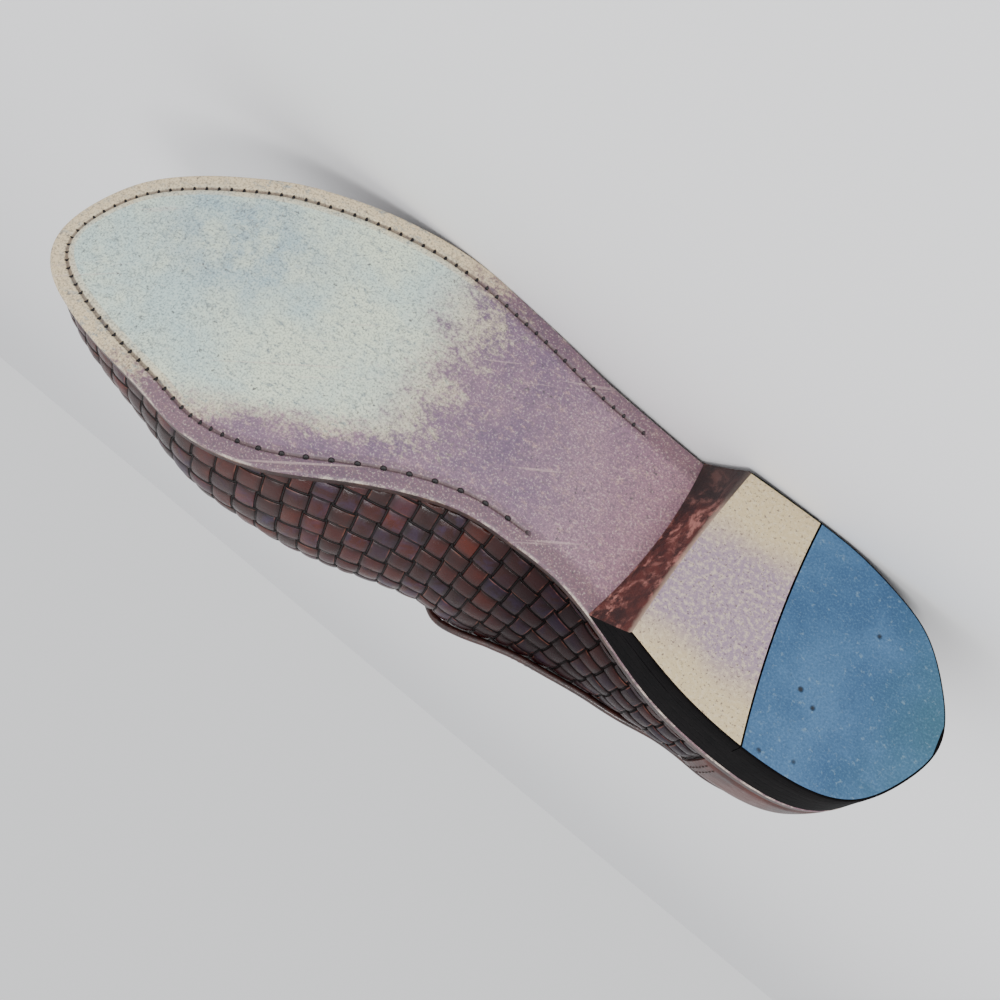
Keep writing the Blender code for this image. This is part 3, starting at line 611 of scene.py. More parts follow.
def soleSide(angles, insets, side):
    # half of the bottom from its rounded edge over the channel, with the map and the channel's share
    corner, groove = outsole["rounding"], outsole["grooveInset"]
    inset = np.repeat(insets[None, :], len(angles), 0)
    plan = edge(side * np.repeat(angles[:, None], len(insets), 1), inset)
    fade = channelFade(plan[..., 0], side)
    dip = np.exp(-(((inset - groove) / outsole["grooveWidth"]) ** 2)) * fade
    lip = np.exp(-(((inset - groove - 0.0016) / 0.0008) ** 2)) * fade
    roll = corner * (1 - np.sqrt(1 - np.clip(1 - inset / corner, 0, 1) ** 2))
    height = underside(plan[..., 0]) + roll + dip * outsole["grooveDepth"] - lip * 0.00015
    phase = np.repeat(stitchPhase(angles, side)[:, None], len(insets), 1)
    return lift(plan, height), np.stack([phase + (0 if side > 0 else 500), inset * 100], -1), fade


def buildOutsole(finishes):
    # rows run from the big-toe edge over the bottom to the little-toe edge
    angles = evenTurns(0.0011)
    corner, groove, shoulder = outsole["rounding"], outsole["grooveInset"], outsole["shoulder"]
    insets = np.concatenate([
        corner * (1 - np.cos(np.linspace(0, np.pi / 2, 5))),
        np.linspace(0.0020, groove - 0.0012, 4),
        np.linspace(groove - 0.0009, groove + 0.0009, 9),
        [groove + 0.0014, groove + 0.0024],
    ])
    medial, medialMap, medialFade = soleSide(angles, insets, -1)
    lateral, lateralMap, lateralFade = soleSide(angles, insets, 1)
    share = np.linspace(0, 1, 34)[None, 1:-1, None]
    middle = medial[:, -1:, :2] * (1 - share) + lateral[:, -1:, :2] * share
    middle = lift(middle, underside(middle[..., 0]))
    flat = np.zeros(middle.shape[:2])
    middleMap = np.stack([flat, flat + 3.0], -1)  # far in from the edge
    patches = [{
        "points": np.concatenate([medial, middle, lateral[:, ::-1]], 1),
        "map": np.concatenate([medialMap, middleMap, lateralMap[:, ::-1]], 1),
        "value": np.concatenate([medialFade, flat, lateralFade[:, ::-1]], 1),
    }]
    ring = np.concatenate([angles, 2 * np.pi - angles[-2::-1]])
    rim = edge(ring, np.zeros_like(ring))
    levels = np.linspace(corner, last["sole"] - shoulder, 5)
    wall = np.stack([lift(rim, underside(rim[:, 0]) + level) for level in levels])
    shape = wall.shape[:2]
    wallMap = [np.broadcast_to(ring, shape), np.broadcast_to(levels[:, None] * 100, shape)]
    patches.append({"points": wall, "map": np.stack(wallMap, -1), "finish": 1})
    topRim = edge(ring, np.full_like(ring, shoulder))
    topRim = lift(topRim, underside(topRim[:, 0]) + last["sole"])
    patches.append({"points": np.stack([wall[-1], topRim]), "finish": 1})
    left, right = (edge(side * angles, np.full_like(angles, shoulder)) for side in (1, -1))
    share = np.linspace(0, 1, 9)[None, :, None]
    top = right[:, None] * (1 - share) + left[:, None] * share
    patches.append({"points": lift(top, underside(top[..., 0]) + last["sole"]), "finish": 1})
    return addPiece("wornOutsole", patches, finishes, ["outsole"], sharp=50)


def wornSoleFinish():
    finish = Finish("wornSoleLeather")
    x, y, _ = finish.place.split()
    phase, inset, _ = finish.pattern()
    mottle, cloud = finish.noise(95, 6, 0.7), finish.noise(26, 4, 0.6, 0.4)
    speck, dust = finish.noise(620, 3, 0.65), finish.noise(1500, 3, 0.7)
    flake = finish.noise(340, 5, 0.75, place=finish.stretch((1.0, 1.6, 1.0)))
    # pale scuffed forefoot, its border bent back to the toe on the big-toe side
    reach = x - 0.171 - y.span(0.006, -0.026, 0.0, 0.058)
    border = reach + (mottle - 0.5) * 0.060 + (flake - 0.5) * 0.050 + (speck - 0.5) * 0.040
    rimPull = inset.span(0.62, 0.44, 0.0, 0.026) * y.span(0.006, -0.006)
    forward = (border - rimPull).span(-0.010, 0.016)
    # mint in the middle, blue-grey clouds, cream round the rim
    mint = cloud.span(0.36, 0.62).mix(paint(176, 200, 196), paint(206, 217, 194))
    blueShare = ((x - 0.247) / 0.034).away((y - 0.033) / 0.026).span(1.25, 0.3)
    blueShare = blueShare * mottle.span(0.38, 0.62, 0.25, 1.0)
    mint = (blueShare * 0.80).mix(mint, paint(140, 166, 178))
    pale = (inset + mottle * 0.9).span(1.6, 0.75).mix(mint, paint(208, 188, 152))
    warm = (reach + cloud * 0.03).span(0.040, 0.008)
    pale = (warm * 0.85).mix(pale, paint(206, 186, 152))
    # polished waist: mauve, going pink to the breast
    mauve = cloud.span(0.35, 0.65).mix(paint(104, 80, 106), paint(138, 106, 122))
    mauve = ((x + cloud * 0.03).span(0.150, 0.105) * 0.85).mix(mauve, paint(148, 106, 118))
    mauve = (flake.span(0.52, 0.70) * 0.55).mix(mauve, paint(194, 158, 146))
    mauve = (inset.span(0.95, 0.5) * 0.6).mix(mauve, paint(88, 58, 66))
    turned = finish.node("ShaderNodeMapping", {"Vector": finish.place, "Rotation": (0, 0, 0.5)})
    scratched = finish.noise(1.0, 2, 0.5, place=finish.stretch((14, 420, 60), turned)).span(0.66, 0.72)
    # the channel with its stitch holes, spaced by the map's running count
    channel = finish.node("ShaderNodeAttribute", {}, "Fac", attribute_name="amount")
    off = abs(inset - outsole["grooveInset"] * 100)
    beat = abs(phase.calc("FRACT") - 0.5)
    hole = (beat * 0.60).away(off).span(0.085, 0.055) * channel
    finish.link("Roughness", forward.span(0.0, 1.0, 0.50, 0.84) + hole * 0.1)
    height = flake * 0.5 + speck * 0.35 - hole * 2.2 - scratched * 0.25
    grime = flake.span(0.50, 0.66) * cloud.span(0.38, 0.60, 0.30, 0.85)
    return finish.done(forward.mix(mauve, pale), height, 0.00035, (
        (inset.span(0.07, 0.01) * mottle.span(0.46, 0.60, 0.0, 0.75), paint(214, 200, 182)),  # rubbed edge
        (speck.span(0.60, 0.68) * mottle.span(0.38, 0.62, 0.12, 0.85), paint(66, 58, 62)),
        (grime * forward, paint(120, 134, 138)),
        (dust.span(0.48, 0.63, 0.0, 0.56), paint(78, 76, 82)),
        (dust.span(0.46, 0.34, 0.0, 0.30), paint(222, 216, 196)),
        (scratched * 0.30, paint(206, 180, 172)),
        (off.span(0.075, 0.03) * channel * 0.72, paint(70, 52, 50)),
        (hole, paint(18, 14, 16)),
    ))


def edgeFinish():
    finish = Finish("burnishedEdge", {"Roughness": 0.45})
    mottle, level = finish.noise(140, 5, 0.7), finish.pattern()[1]
    colour = mottle.span(0.35, 0.65).mix(paint(30, 14, 13), paint(58, 32, 28))
    layers = finish.noise(1.0, 3, place=finish.stretch((60, 60, 900)))
    # pale patches low on the edge: partly wear, partly a painted highlight along the rim
    wearAndHighlight = level.span(0.24, 0.09) * mottle.span(0.50, 0.64, 0.0, 0.7)
    return finish.done(colour, layers, 0.0003, [(wearAndHighlight, paint(160, 128, 104))])


buildOutsole([wornSoleFinish(), edgeFinish()])


# ---- the heel: dark lifts with a rough breast, a worn leather front and a rubber rear

heel = {
    "length": 0.0865,
    "lean": 0.0110,
    "hollow": 0.0030,
    "wear": -0.0040,
    "skew": 0.0095,
    "taper": 0.0022,
    "tread": 0.0060,
    "rubber": (0.0540, -0.0057, 0.0020),  # line from the back, skew and bow
    "edge": 0.0007,
    "layer": 0.0038,
}


def breastX(across, up):
    # the heel's length less a parabola for the hollow, skewed across and leaning forward with height
    hollow = (heel["hollow"] + heel["wear"] * (1 - up)) * (1 - (2 * across - 1) ** 2)
    return heel["length"] - hollow + heel["skew"] * (0.5 - across) + heel["lean"] * up


def rubberX(across, up=0.0):
    # a skewed line with a parabolic bow, the same at every height
    line, skew, bow = heel["rubber"]
    return line + bow * (1 - (2 * across - 1) ** 2) + skew * (0.5 - across)


def edgeAt(x, side, inset):
    # the outline's point at this x on one side, moved in by the inset
    angle = np.arccos(1 - 2 * np.clip(x / last["length"], 0, 1))
    return edge(angle if side > 0 else 2 * np.pi - angle, np.full(len(x), inset))


def heelSheet(back, front, up, size, extra):
    # a level of the heel between its back and front lines, cut to the sole's outline less the taper
    rows, columns = size
    across, share = np.linspace(0, 1, columns + 1), np.linspace(0, 1, rows + 1)
    ends = front(across, up) - extra * 0.8
    if back is None:
        x = (share[:, None] ** 1.8) * ends[None, :] * (1 - extra / 0.09) + extra
    else:
        starts = back(across)
        x = starts[None, :] + share[:, None] * (ends - starts)[None, :]
    inset = heel["taper"] * (1 - up) + 0.0002 + extra
    lateral, medial = edgeAt(x[:, -1], 1, inset), edgeAt(x[:, 0], -1, inset)
    y = medial[:, None, 1] + (lateral - medial)[:, None, 1] * across[None, :]
    skew = (medial[:, 0] - x[:, 0])[:, None] * (1 - across)
    skew = skew + (lateral[:, 0] - x[:, -1])[:, None] * across
    hold = 1 - share[:, None] ** 4
    if back is not None:
        hold = hold * (1 - (1 - share[:, None]) ** 4)
    return np.stack([x + skew * hold, y], -1)


def heelBlock(name, node, back, front, levels, size, finishes, numbers):
    # levels: (height function, share up, extra inset), bottom to top; numbers: bottom, side and front finish
    sheets = []
    for height, up, extra in levels:
        plan = heelSheet(back, front, up, size, extra)
        sheets.append(lift(plan, height(plan[..., 0])))
    stack = np.stack(sheets)
    bottom, side, breast = numbers
    grids = ((stack[0], bottom), (stack[-1], side), (stack[:, :, 0], side), (stack[:, :, -1], side),
             (stack[:, -1, :], breast), (stack[:, 0, :], side))
    patches = [{"points": points, "finish": number} for points, number in grids]
    return addPiece(name, patches, finishes, [node], sharp=45)


def heelSideFinish():
    finish = Finish("blackLifts", {"Roughness": 0.72, "Specular IOR Level": 0.06})
    mottle = finish.noise(110, 5, 0.7)
    layer = (finish.place.split()[2] / heel["layer"]).calc("FRACT")
    joint = abs(layer - 0.5).span(0.44, 0.49)
    colour = mottle.span(0.35, 0.7).mix(paint(4, 3, 4), paint(12, 9, 10))
    return finish.done(colour, mottle - joint * 0.8, 0.0003, [(joint, paint(1, 1, 1))])


def breastFinish():
    finish = Finish("roughBreast", {"Roughness": 0.62})
    _, y, z = finish.place.split()
    mottle, patch = finish.noise(150, 7, 0.75), finish.noise(105, 5, 0.7, 0.6)
    colour = mottle.span(0.35, 0.65).mix(paint(46, 14, 12), paint(98, 42, 34))
    return finish.done(colour, mottle, 0.0014, (
        (patch.span(0.46, 0.62) * mottle.span(0.44, 0.54) * 0.85, paint(190, 128, 116)),  # scuffs
        ((z + mottle * 0.004).span(0.0045, 0.0025) * 0.5, paint(196, 172, 152)),
        # painted shade: the breast goes darker towards the little-toe edge
        (y.span(0.026, 0.038) * 0.8, paint(30, 22, 22)),
    ))


def wornTreadFinish():
    finish = Finish("wornTreadLeather", {"Roughness": 0.8})
    cloud, grain = finish.noise(34, 4, 0.6, 0.5), finish.noise(760, 6, 0.8)
    across = abs(finish.place.split()[1] - 0.006)
    middle = (across + cloud * 0.02).span(0.036, 0.020)
    return finish.done(middle.mix(paint(204, 184, 142), paint(150, 128, 146)), grain, 0.0005, (
        (grain.span(0.48, 0.58) * 0.6, paint(218, 202, 170)),
        (finish.noise(1100, 3, 0.7).span(0.57, 0.66) * 0.8, paint(84, 62, 66)),
    ))


def rubberFinish():
    finish = Finish("blueRubber", {"Roughness": 0.72})
    cloud, grain = finish.noise(40, 4, 0.6, 0.4), finish.noise(520, 4, 0.7)
    dust, few = finish.noise(1500, 3, 0.7), finish.noise(75, 2, 0.5)
    pit = finish.node("ShaderNodeTexVoronoi", {"Vector": finish.place, "Scale": 150.0}, "Distance")
    pitted = pit.span(0.16, 0.06) * few.span(0.56, 0.62)
    rear = (finish.place.split()[0] + cloud * 0.03).span(0.045, 0.010)
    colour = cloud.span(0.35, 0.65).mix(paint(38, 76, 112), paint(58, 96, 132))
    return finish.done(colour, grain * 0.3 - pitted * 1.2, 0.0005, (
        (rear * 0.75, paint(40, 88, 100)),
        (grain.span(0.58, 0.68) * 0.45, paint(120, 146, 160)),
        (dust.span(0.48, 0.66, 0.0, 0.38), paint(26, 54, 84)),
        (dust.span(0.48, 0.34, 0.0, 0.30), paint(96, 130, 156)),
        (pitted, paint(12, 22, 34)),
    ))


def level(height):
    return lambda x: np.full_like(x, height)


def liftLevel(share):
    foot = heel["tread"] + 0.00002
    return lambda x: foot + share * (underside(x) - last["gap"] - foot)


def buildHeel():
    side, breast = heelSideFinish(), breastFinish()
    seat, rounding = heel["tread"] / last["heelHeight"], heel["edge"]
    lifts = [(liftLevel(share), seat + share * (1 - seat), 0.0) for share in np.linspace(0, 1, 10)]
    heelBlock("heelLifts", "heel_stack", None, breastX, lifts, (26, 40), [side, breast], (0, 0, 1))
    treads = [
        (level(0.0), 0.0, rounding),
        (level(rounding * 0.35), 0.0, rounding * 0.3),
        (level(rounding), 0.0, 0.0),
        (level(heel["tread"]), seat, 0.0),
    ]
    rubber, leather = [rubberFinish(), side], [wornTreadFinish(), side, breast]
    heelBlock("heelRubber", "heel_top_rubber", None, rubberX, treads, (40, 40), rubber, (0, 1, 1))
    heelBlock("heelLeather", "heel_top_leather", lambda across: rubberX(across) + last["gap"], breastX,
              treads, (24, 40), leather, (0, 1, 2))


buildHeel()


# ---- the woven upper: strips worked out on a lattice that follows the weave

weave = {
    "pitch": 0.0075,
    # rise of the long strips towards the heel, by x
    "slope": (
        (0.040, 0.00), (0.100, 0.04), (0.140, 0.14), (0.162, 0.30), (0.184, 0.36), (0.206, 0.16),
        (0.236, 0.00)),
    "samples": (-0.5, -0.452, -0.428, -0.34, -0.17, 0.0, 0.17, 0.34, 0.428, 0.452),
    "half": 0.44,  # half-width of a strip, in pitches
    "level": 0.00024,
    "swing": 0.00044,
    "crown": 0.00034,
    "overrun": 0.004,  # the sides run on this far past the throat's corner, flat under the apron's weave
    "tone": {
        "dark": paint(32, 9, 8),
        "mid": paint(58, 19, 15),
        # violet is a painted reflection: the lilac sheen of the sky on the strips
        "violet": paint(48, 34, 62),
        "rust": paint(96, 34, 16),
        # this paler tone is partly worn cut edges, partly a painted highlight
        "wearAndHighlight": paint(122, 74, 58),
        # this dark tone marks wrinkle cracks and is also painted shade where pillows dip
        "crackAndShade": paint(14, 5, 5),
        # painted shade laid over the weave towards the heel
        "deep": paint(13, 6, 11),
        # near-black painted shade in the gaps between strips
        "gap": paint(3, 1, 1),
    },
}


def latticeLines(low, high):
    cells = np.arange(math.floor(low), math.ceil(high))
    lines = (cells[:, None] + 0.5 + np.array(weave["samples"])[None, :]).ravel()
    return lines[(lines >= low) & (lines <= high)]


def stripHeight(u, v):
    # two families of strips, each riding a softened sine over and under the other
    def family(along, across):
        beside = np.abs(across - np.floor(across) - 0.5)
        wave = np.sin(np.pi * (along + np.floor(across)))
        wave = np.sign(wave) * np.abs(wave) ** 0.55
        body = weave["level"] + weave["swing"] * wave
        body = body + weave["crown"] * (1 - (beside / weave["half"]) ** 2)
        body = body - 0.00010 * ease((beside - 0.33) / 0.10)
        return np.where(beside <= weave["half"] + 1e-3, body, -0.0003)

    return np.maximum(family(u, v), family(v + 1, u))


def wallGrid(turns, lengths, height):
    # like wallAt, for a turn of its own at each point: rises read from a table of stations
    stations, samples = np.linspace(turns.min(), turns.max(), 500), np.linspace(0, 0.125, 251)
    rises, run = climb(stations)
    table = np.stack([np.interp(samples, run[i], rises[i]) for i in range(len(stations))])
    at = np.clip((turns - stations[0]) / (stations[1] - stations[0]), 0, len(stations) - 1.001)
    up = np.clip(lengths / samples[1], 0, len(samples) - 1.001)
    i, j = at.astype(int), up.astype(int)
    a, b = at - i, up - j
    low = table[i, j] * (1 - b) + table[i, j + 1] * b
    high = table[i + 1, j] * (1 - b) + table[i + 1, j + 1] * b
    rise = low * (1 - a) + high * a
    return wallPoint(turns, rise) + wallNormal(turns, rise) * height[..., None]


def sideLattice():
    # the weave's own axes: rows rise towards the heel by the slope, columns lean to stay square
    pitch = weave["pitch"]
    fine = evenTurns(0.0006, angleAt(last["patch"] - 0.004))
    ring = np.concatenate([fine, 2 * np.pi - fine[-2::-1]])
    plan, toe = outline(ring), len(fine) - 1
    run = runAlong(plan)
    run = run - run[toe]
    knots = np.array(weave["slope"])
    slopes = np.interp(plan[:, 0], knots[:, 0], knots[:, 1])
    climbs = np.concatenate([[0], np.cumsum((slopes[1:] + slopes[:-1]) / 2 * np.diff(run))])
    climbs = np.abs(climbs - climbs[toe])
    past, seams = pastThroat(ring), seamLength(ring)
    limits = np.where(past > weave["overrun"], seams, topLength(ring) - 0.0015)
    columns = latticeLines(run[0] / pitch - 3, run[-1] / pitch + 3)
    rows = latticeLines(-climbs.max() / pitch - 1, limits.max() / pitch)
    u, v = np.meshgrid(columns, rows, indexing="ij")
    way, at = np.sign(u), u * pitch
    for leaned in [True] * 12 + [False]:
        lengths = np.clip(v * pitch + np.interp(at, run, climbs), 0, np.interp(at, run, limits))
        if leaned:
            at = np.clip(u * pitch - way * np.interp(at, run, slopes) * lengths, run[0], run[-1])
    u = (at + way * np.interp(at, run, slopes) * lengths) / pitch
    v = (lengths - np.interp(at, run, climbs)) / pitch
    turns = np.interp(at, run, ring)
    back = ease((alongOf(turns) * last["length"] - last["patch"] - 0.0005) / 0.003)
    relief = stripHeight(u, v) * back * ease((np.interp(at, run, limits) - lengths) / 0.0026)
    under = ease(np.interp(at, run, past) / 0.001) * ease((lengths - np.interp(at, run, seams)) / 0.001)
    return {"points": wallGrid(turns, lengths, relief * (1 - under)), "map": np.stack([u, v], -1)}


def apronLattice():
    # levels of the wall are read along x, then the vamp's height along y, for a straight lattice
    pitch, count, slack = weave["pitch"], 60, 0.0002
    shares = 1 - np.linspace(1, 0, count)[None, :] ** 1.6

    def levelsOf(turns):
        lengths = seamLength(turns)[:, None] * (1 - shares) + topLength(turns)[:, None] * shares
        return wallAt(turns, lengths, 0.0)

    half = evenTurns(0.0015, 1.35)
    levels = [levelsOf(np.mod(side * half, 2 * np.pi)) for side in (1, -1)]
    tip = levelsOf(np.array([math.pi]))[0]
    throatX, tipX, topX = last["throat"] * last["length"] - 0.001, tip[:, 0].max(), tip[-1, 0]
    tip = tip[np.argsort(tip[:, 0])]
    columns = latticeLines(throatX / pitch, tipX / pitch)
    columns = columns[(columns * pitch > throatX) & (columns * pitch < tipX - slack)]
    rows = latticeLines(-6.0, 8.0)
    grid, keep, y = [], [], rows * pitch
    for x in columns * pitch:
        line = [columnsAt(x, level[:, k, 0], level[:, k, 1:])
                for level in levels for k in range(count) if level[-1, k, 0] >= x]
        if x > topX:
            line.append(columnsAt(x, tip[:, 0], tip[:, 1:]))
        line = np.array(line)
        line = line[np.argsort(line[:, 0])]
        grid.append(np.stack([np.full_like(y, x), y, np.interp(y, line[:, 0], line[:, 1])], -1))
        keep.append((y >= line[0, 0] - slack) & (y <= line[-1, 0] + slack))
    grid, keep = np.stack(grid), np.stack(keep)
    u, v = np.meshgrid(columns, rows, indexing="ij")
    normal = unit(np.cross(np.gradient(grid, axis=0), np.gradient(grid, axis=1)))
    points = grid + normal * np.sign(normal[..., 2:]) * stripHeight(u, v)[..., None]
    cells = keep[:-1, :-1] & keep[1:, :-1] & keep[:-1, 1:] & keep[1:, 1:]
    return {"points": points, "map": np.stack([u, v], -1), "keep": cells}


def buildLining(finish):
    ring = ringTurns(evenTurns(0.0040))
    ring = np.append(ring, ring[0] + 2 * np.pi)
    tops = topLength(ring)[:, None]
    inner = wallAt(ring, tops * np.linspace(0, 1, 22)[None, :], -last["wall"])
    rim = np.stack([wallAt(ring, tops, -last["gap"])[:, 0], inner[:, -1]])
    around = {"points": rim, "keep": (pastThroat(ring)[:-1] < 0)[None, :]}
    return addPiece("shoeLining", [{"points": inner}, around], [finish])


def crease(along, across, shift):
    # one family: where it shows, how near a pillow's rim, its side and its end are, and its own number
    lane = across.calc("FLOOR")
    moved = (along + lane + (shift + 0.5)) * 0.5
    ahead, beside = (abs(part.calc("FRACT") - 0.5) for part in (moved, across))
    shown = beside.calc("LESS_THAN", 0.441) * ahead.calc("LESS_THAN", 0.28)
    rim = beside.span(0.385, 0.438).calc("MAXIMUM", ahead.span(0.235, 0.275))
    number = {"X": lane, "Y": moved.calc("FLOOR"), "Z": shift * 7.0 + 0.5}
    border = beside.span(0.33, 0.38) * beside.span(0.41, 0.385)
    return shown, (rim, border, ahead.span(0.10, 0.25)), lane.finish.node("ShaderNodeCombineXYZ", number)


def wovenFinish():
    finish, tone = Finish("wovenCalf"), weave["tone"]
    u, v, _ = finish.pattern()
    x = finish.place.split()[0]
    longShown, longParts, longCell = crease(u, v, 0.0)
    _, crossParts, crossCell = crease(v, u, 1.0)
    rim, side, dip = (
        finish.node("ShaderNodeMix", {0: longShown, 2: crossPart, 3: longPart}, data_type="FLOAT")
        for crossPart, longPart in zip(crossParts, longParts))
    cell = {"Vector": longShown.mix(crossCell, longCell)}
    chance = finish.node("ShaderNodeTexWhiteNoise", cell, "Color", noise_dimensions="3D")
    first, second, third = chance.split()
    cloud, smear = finish.noise(24, 4, 0.6), finish.noise(150, 4, 0.65, 0.6)
    grain, wrinkle = finish.noise(1000, 4, 0.6), finish.noise(330, 6, 0.75, 0.9)
    finish.link("Specular IOR Level", x.span(0.108, 0.166, 0.08, 0.36))
    finish.link("Roughness", smear.span(0.3, 0.7, 0.24, 0.44) + rim * 0.3)
    return finish.done(first.mix(tone["dark"], tone["mid"]), grain * 0.2 + wrinkle * 0.6 - rim, 0.00026, (
        # painted reflection: violet over some strips for the lilac sheen
        (second.span(0.35, 0.95) * smear.span(0.40, 0.62) * 0.65, tone["violet"]),
        (third.span(0.45, 1.0) * cloud.span(0.42, 0.62) * 0.7, tone["rust"]),
        (wrinkle.span(0.57, 0.70) * 0.4, tone["crackAndShade"]),
        # painted shade: the weave darkens towards the heel, from x 0.162 back to 0.108
        (x.span(0.162, 0.108, 0.0, 0.70), tone["deep"]),
        # painted shade: pillows darken towards the ends where they dip under the crossing strips
        (dip * 0.50, tone["crackAndShade"]),
        # paler band along the pillows' long edges: partly worn cut edges, partly a painted highlight
        (side * smear.span(0.48, 0.66) * 0.55, tone["wearAndHighlight"]),
        # painted shade: near-black along each pillow's rim and in the gaps between strips
        (rim * 0.92, tone["gap"]),
    ))


def smoothCalf(name, dark, pale):
    finish = Finish(name, {"Specular IOR Level": 0.30})
    cloud, grain = finish.noise(48, 5, 0.65, 0.4), finish.noise(1100, 4, 0.6)
    wrinkle = finish.noise(150, 6, 0.7, 1.0, finish.stretch((1.0, 1.0, 2.2)))
    finish.link("Roughness", wrinkle.span(0.3, 0.7, 0.34, 0.46))
    cracks = [(wrinkle.span(0.58, 0.74) * 0.5, paint(18, 9, 8))]
    return finish.done(cloud.span(0.32, 0.68).mix(dark, pale), grain * 0.3 + wrinkle * 0.7, 0.00022, cracks)


def tanLining(name, dark, pale):
    finish = Finish(name, {"Roughness": 0.62}, stored=False)
    cloud, grain = finish.noise(38, 4, 0.6, 0.4), finish.noise(700, 4, 0.6)
    return finish.done(cloud.span(0.32, 0.68).mix(dark, pale), grain, 0.00015)


wovenCalf = wovenFinish()
brownCalf = smoothCalf("brownCalf", paint(30, 9, 8), paint(54, 20, 14))
patchCalf = smoothCalf("patchCalf", paint(36, 10, 7), paint(72, 24, 12))
addPiece("wovenSides", [sideLattice()], [wovenCalf], ["upper"], sharp=180)
addPiece("wovenApron", [apronLattice()], [wovenCalf], sharp=180)
buildLining(tanLining("liningLeather", paint(150, 112, 80), paint(176, 138, 102)))
insoleSkins = frame["nodes"]["insole"].data.materials
insoleSkins.clear()
insoleSkins.append(tanLining("sockLeather", paint(128, 92, 64), paint(164, 124, 88)))


# ---- heel patch, apron seam and collar binding

trim = {
    "patchThickness": 0.0010,
    "patchDrop": 0.0035,  # the patch ends this far below the rim, under the binding
    "seamWidth": 0.0036,
    "seamHeight": 0.0022,
    "seamPitch": 0.0042,
    "bindingDepth": 0.0040,
    "bindingThickness": 0.0010,
    "stitch": (0.0022, 0.00032),  # length and radius
    "foldStitch": (0.0018, 0.00028),
    "foldPitch": 0.0026,
    "patchRows": (0.0022, 0.0046),  # rows of stitches, from the patch's front edge
    "patchPitch": 0.0032,
    "seamRows": (("Low", -0.0021), ("High", 0.0021)),
}


def shellPatches(low, high):
    # a closed body between two like grids
    sides = [(low, high), (low[0], high[0]), (low[-1], high[-1]),
             (low[:, 0], high[:, 0]), (low[:, -1], high[:, -1])]
    return [{"points": low}, {"points": high}] + [{"points": np.stack(pair)} for pair in sides[1:]]


def ballGrid(around, along):
    a, b = np.meshgrid(np.linspace(0, 2 * np.pi, around), np.linspace(0, np.pi, along), indexing="ij")
    return np.stack([np.cos(b), np.sin(b) * np.cos(a), np.sin(b) * np.sin(a)], -1)


def ringGrid(around, tube):
    return np.meshgrid(np.linspace(0, 2 * np.pi, around), np.linspace(0, 2 * np.pi, tube), indexing="ij")


def stitchRow(name, row, finish, size=trim["stitch"]):
    # small closed beads along a row: a unit ball's grid stretched along the way of the seam
    points, ahead, up = row
    ball = ballGrid(7, 6) * np.array([size[0] / 2, size[1], size[1]])
    frames = np.stack([unit(ahead), unit(np.cross(up, ahead)), unit(up)], 1)
    beads = np.einsum("rcj,njk->nrck", ball, frames) + points[:, None, None, :]
    return addPiece(name, [{"points": bead} for bead in beads], [finish], sharp=180)


def resample(points, normals, step):
    run = runAlong(points)
    at = np.arange(step / 2, run[-1], step)
    ahead = columnsAt(at + 5e-4, run, points) - columnsAt(at - 5e-4, run, points)
    return columnsAt(at, run, points), unit(ahead), unit(columnsAt(at, run, normals))


def rowOnWall(name, turns, lengths, height, step, finish):
    points = wallAt(turns, lengths[:, None], height)[:, 0]
    normals = wallNormal(turns[:, None], riseAt(turns, lengths[:, None]))[:, 0]
    stitchRow(name, resample(points, normals, step), finish)


def threadFinish():
    finish = Finish("brownThread", {"Roughness": 0.7})
    twist = finish.noise(1500, 3, 0.6)
    return finish.done(twist.mix(paint(26, 14, 12), paint(54, 32, 26)), twist, 0.0002)


def buildHeelPatch(finish, thread):
    limit = angleAt(last["patch"])
    turns = np.linspace(-limit, limit, 90)
    tops = topLength(turns) - trim["patchDrop"]
    share = np.linspace(0, 1, 26)[None, :]
    lengths = last["gap"] + share * (tops - last["gap"])[:, None]
    rim = np.minimum(np.minimum(share, 1 - share) * tops[:, None], (limit - np.abs(turns))[:, None] * 0.11)
    rounded = np.sqrt(np.clip(1 - (1 - np.clip(rim / 0.0009, 0, 1)) ** 2, 0.12, 1))
    low = wallAt(turns, lengths, 0.00012)
    high = wallAt(turns, lengths, 0.00045 + trim["patchThickness"] * rounded)
    addPiece("heelPatch", shellPatches(low, high), [finish], ["heel_patch"], sharp=50)
    for side, word in ((1, "Outer"), (-1, "Inner")):
        for k, inset in enumerate(trim["patchRows"]):
            column = np.full(40, side * angleAt(last["patch"] - inset))
            lengths = np.linspace(0.003, topLength(column[:1])[0] - 0.0060, 40)
            rowOnWall("patchStitches%s%d" % (word, k), column, lengths, 0.00145,
                      trim["patchPitch"], thread)


def buildApronSeam(finish, thread):
    turns = ringTurns(evenTurns(0.0009))
    turns = turns[pastThroat(turns) > 0]
    middle, across = seamLength(turns), np.linspace(-1, 1, 11)[None, :]
    run = runAlong(wallAt(turns, middle[:, None], 0.0)[:, 0])
    pucker = 0.00022 * np.cos(2 * np.pi * run / trim["seamPitch"])[:, None] * (1 - across**2)
    lengths = middle[:, None] + across * trim["seamWidth"] / 2
    crest = 0.0003 + trim["seamHeight"] * np.sqrt(1.12 - across**2) - np.abs(pucker)
    low, high = wallAt(turns, lengths, 0.0), wallAt(turns, lengths, crest)
    addPiece("apronRoll", shellPatches(low, high), [finish], ["apron_seam"], sharp=50)
    for word, offset in trim["seamRows"]:
        rowOnWall("apronStitches" + word, turns, middle + offset, 0.0013,
                  trim["seamPitch"], thread)


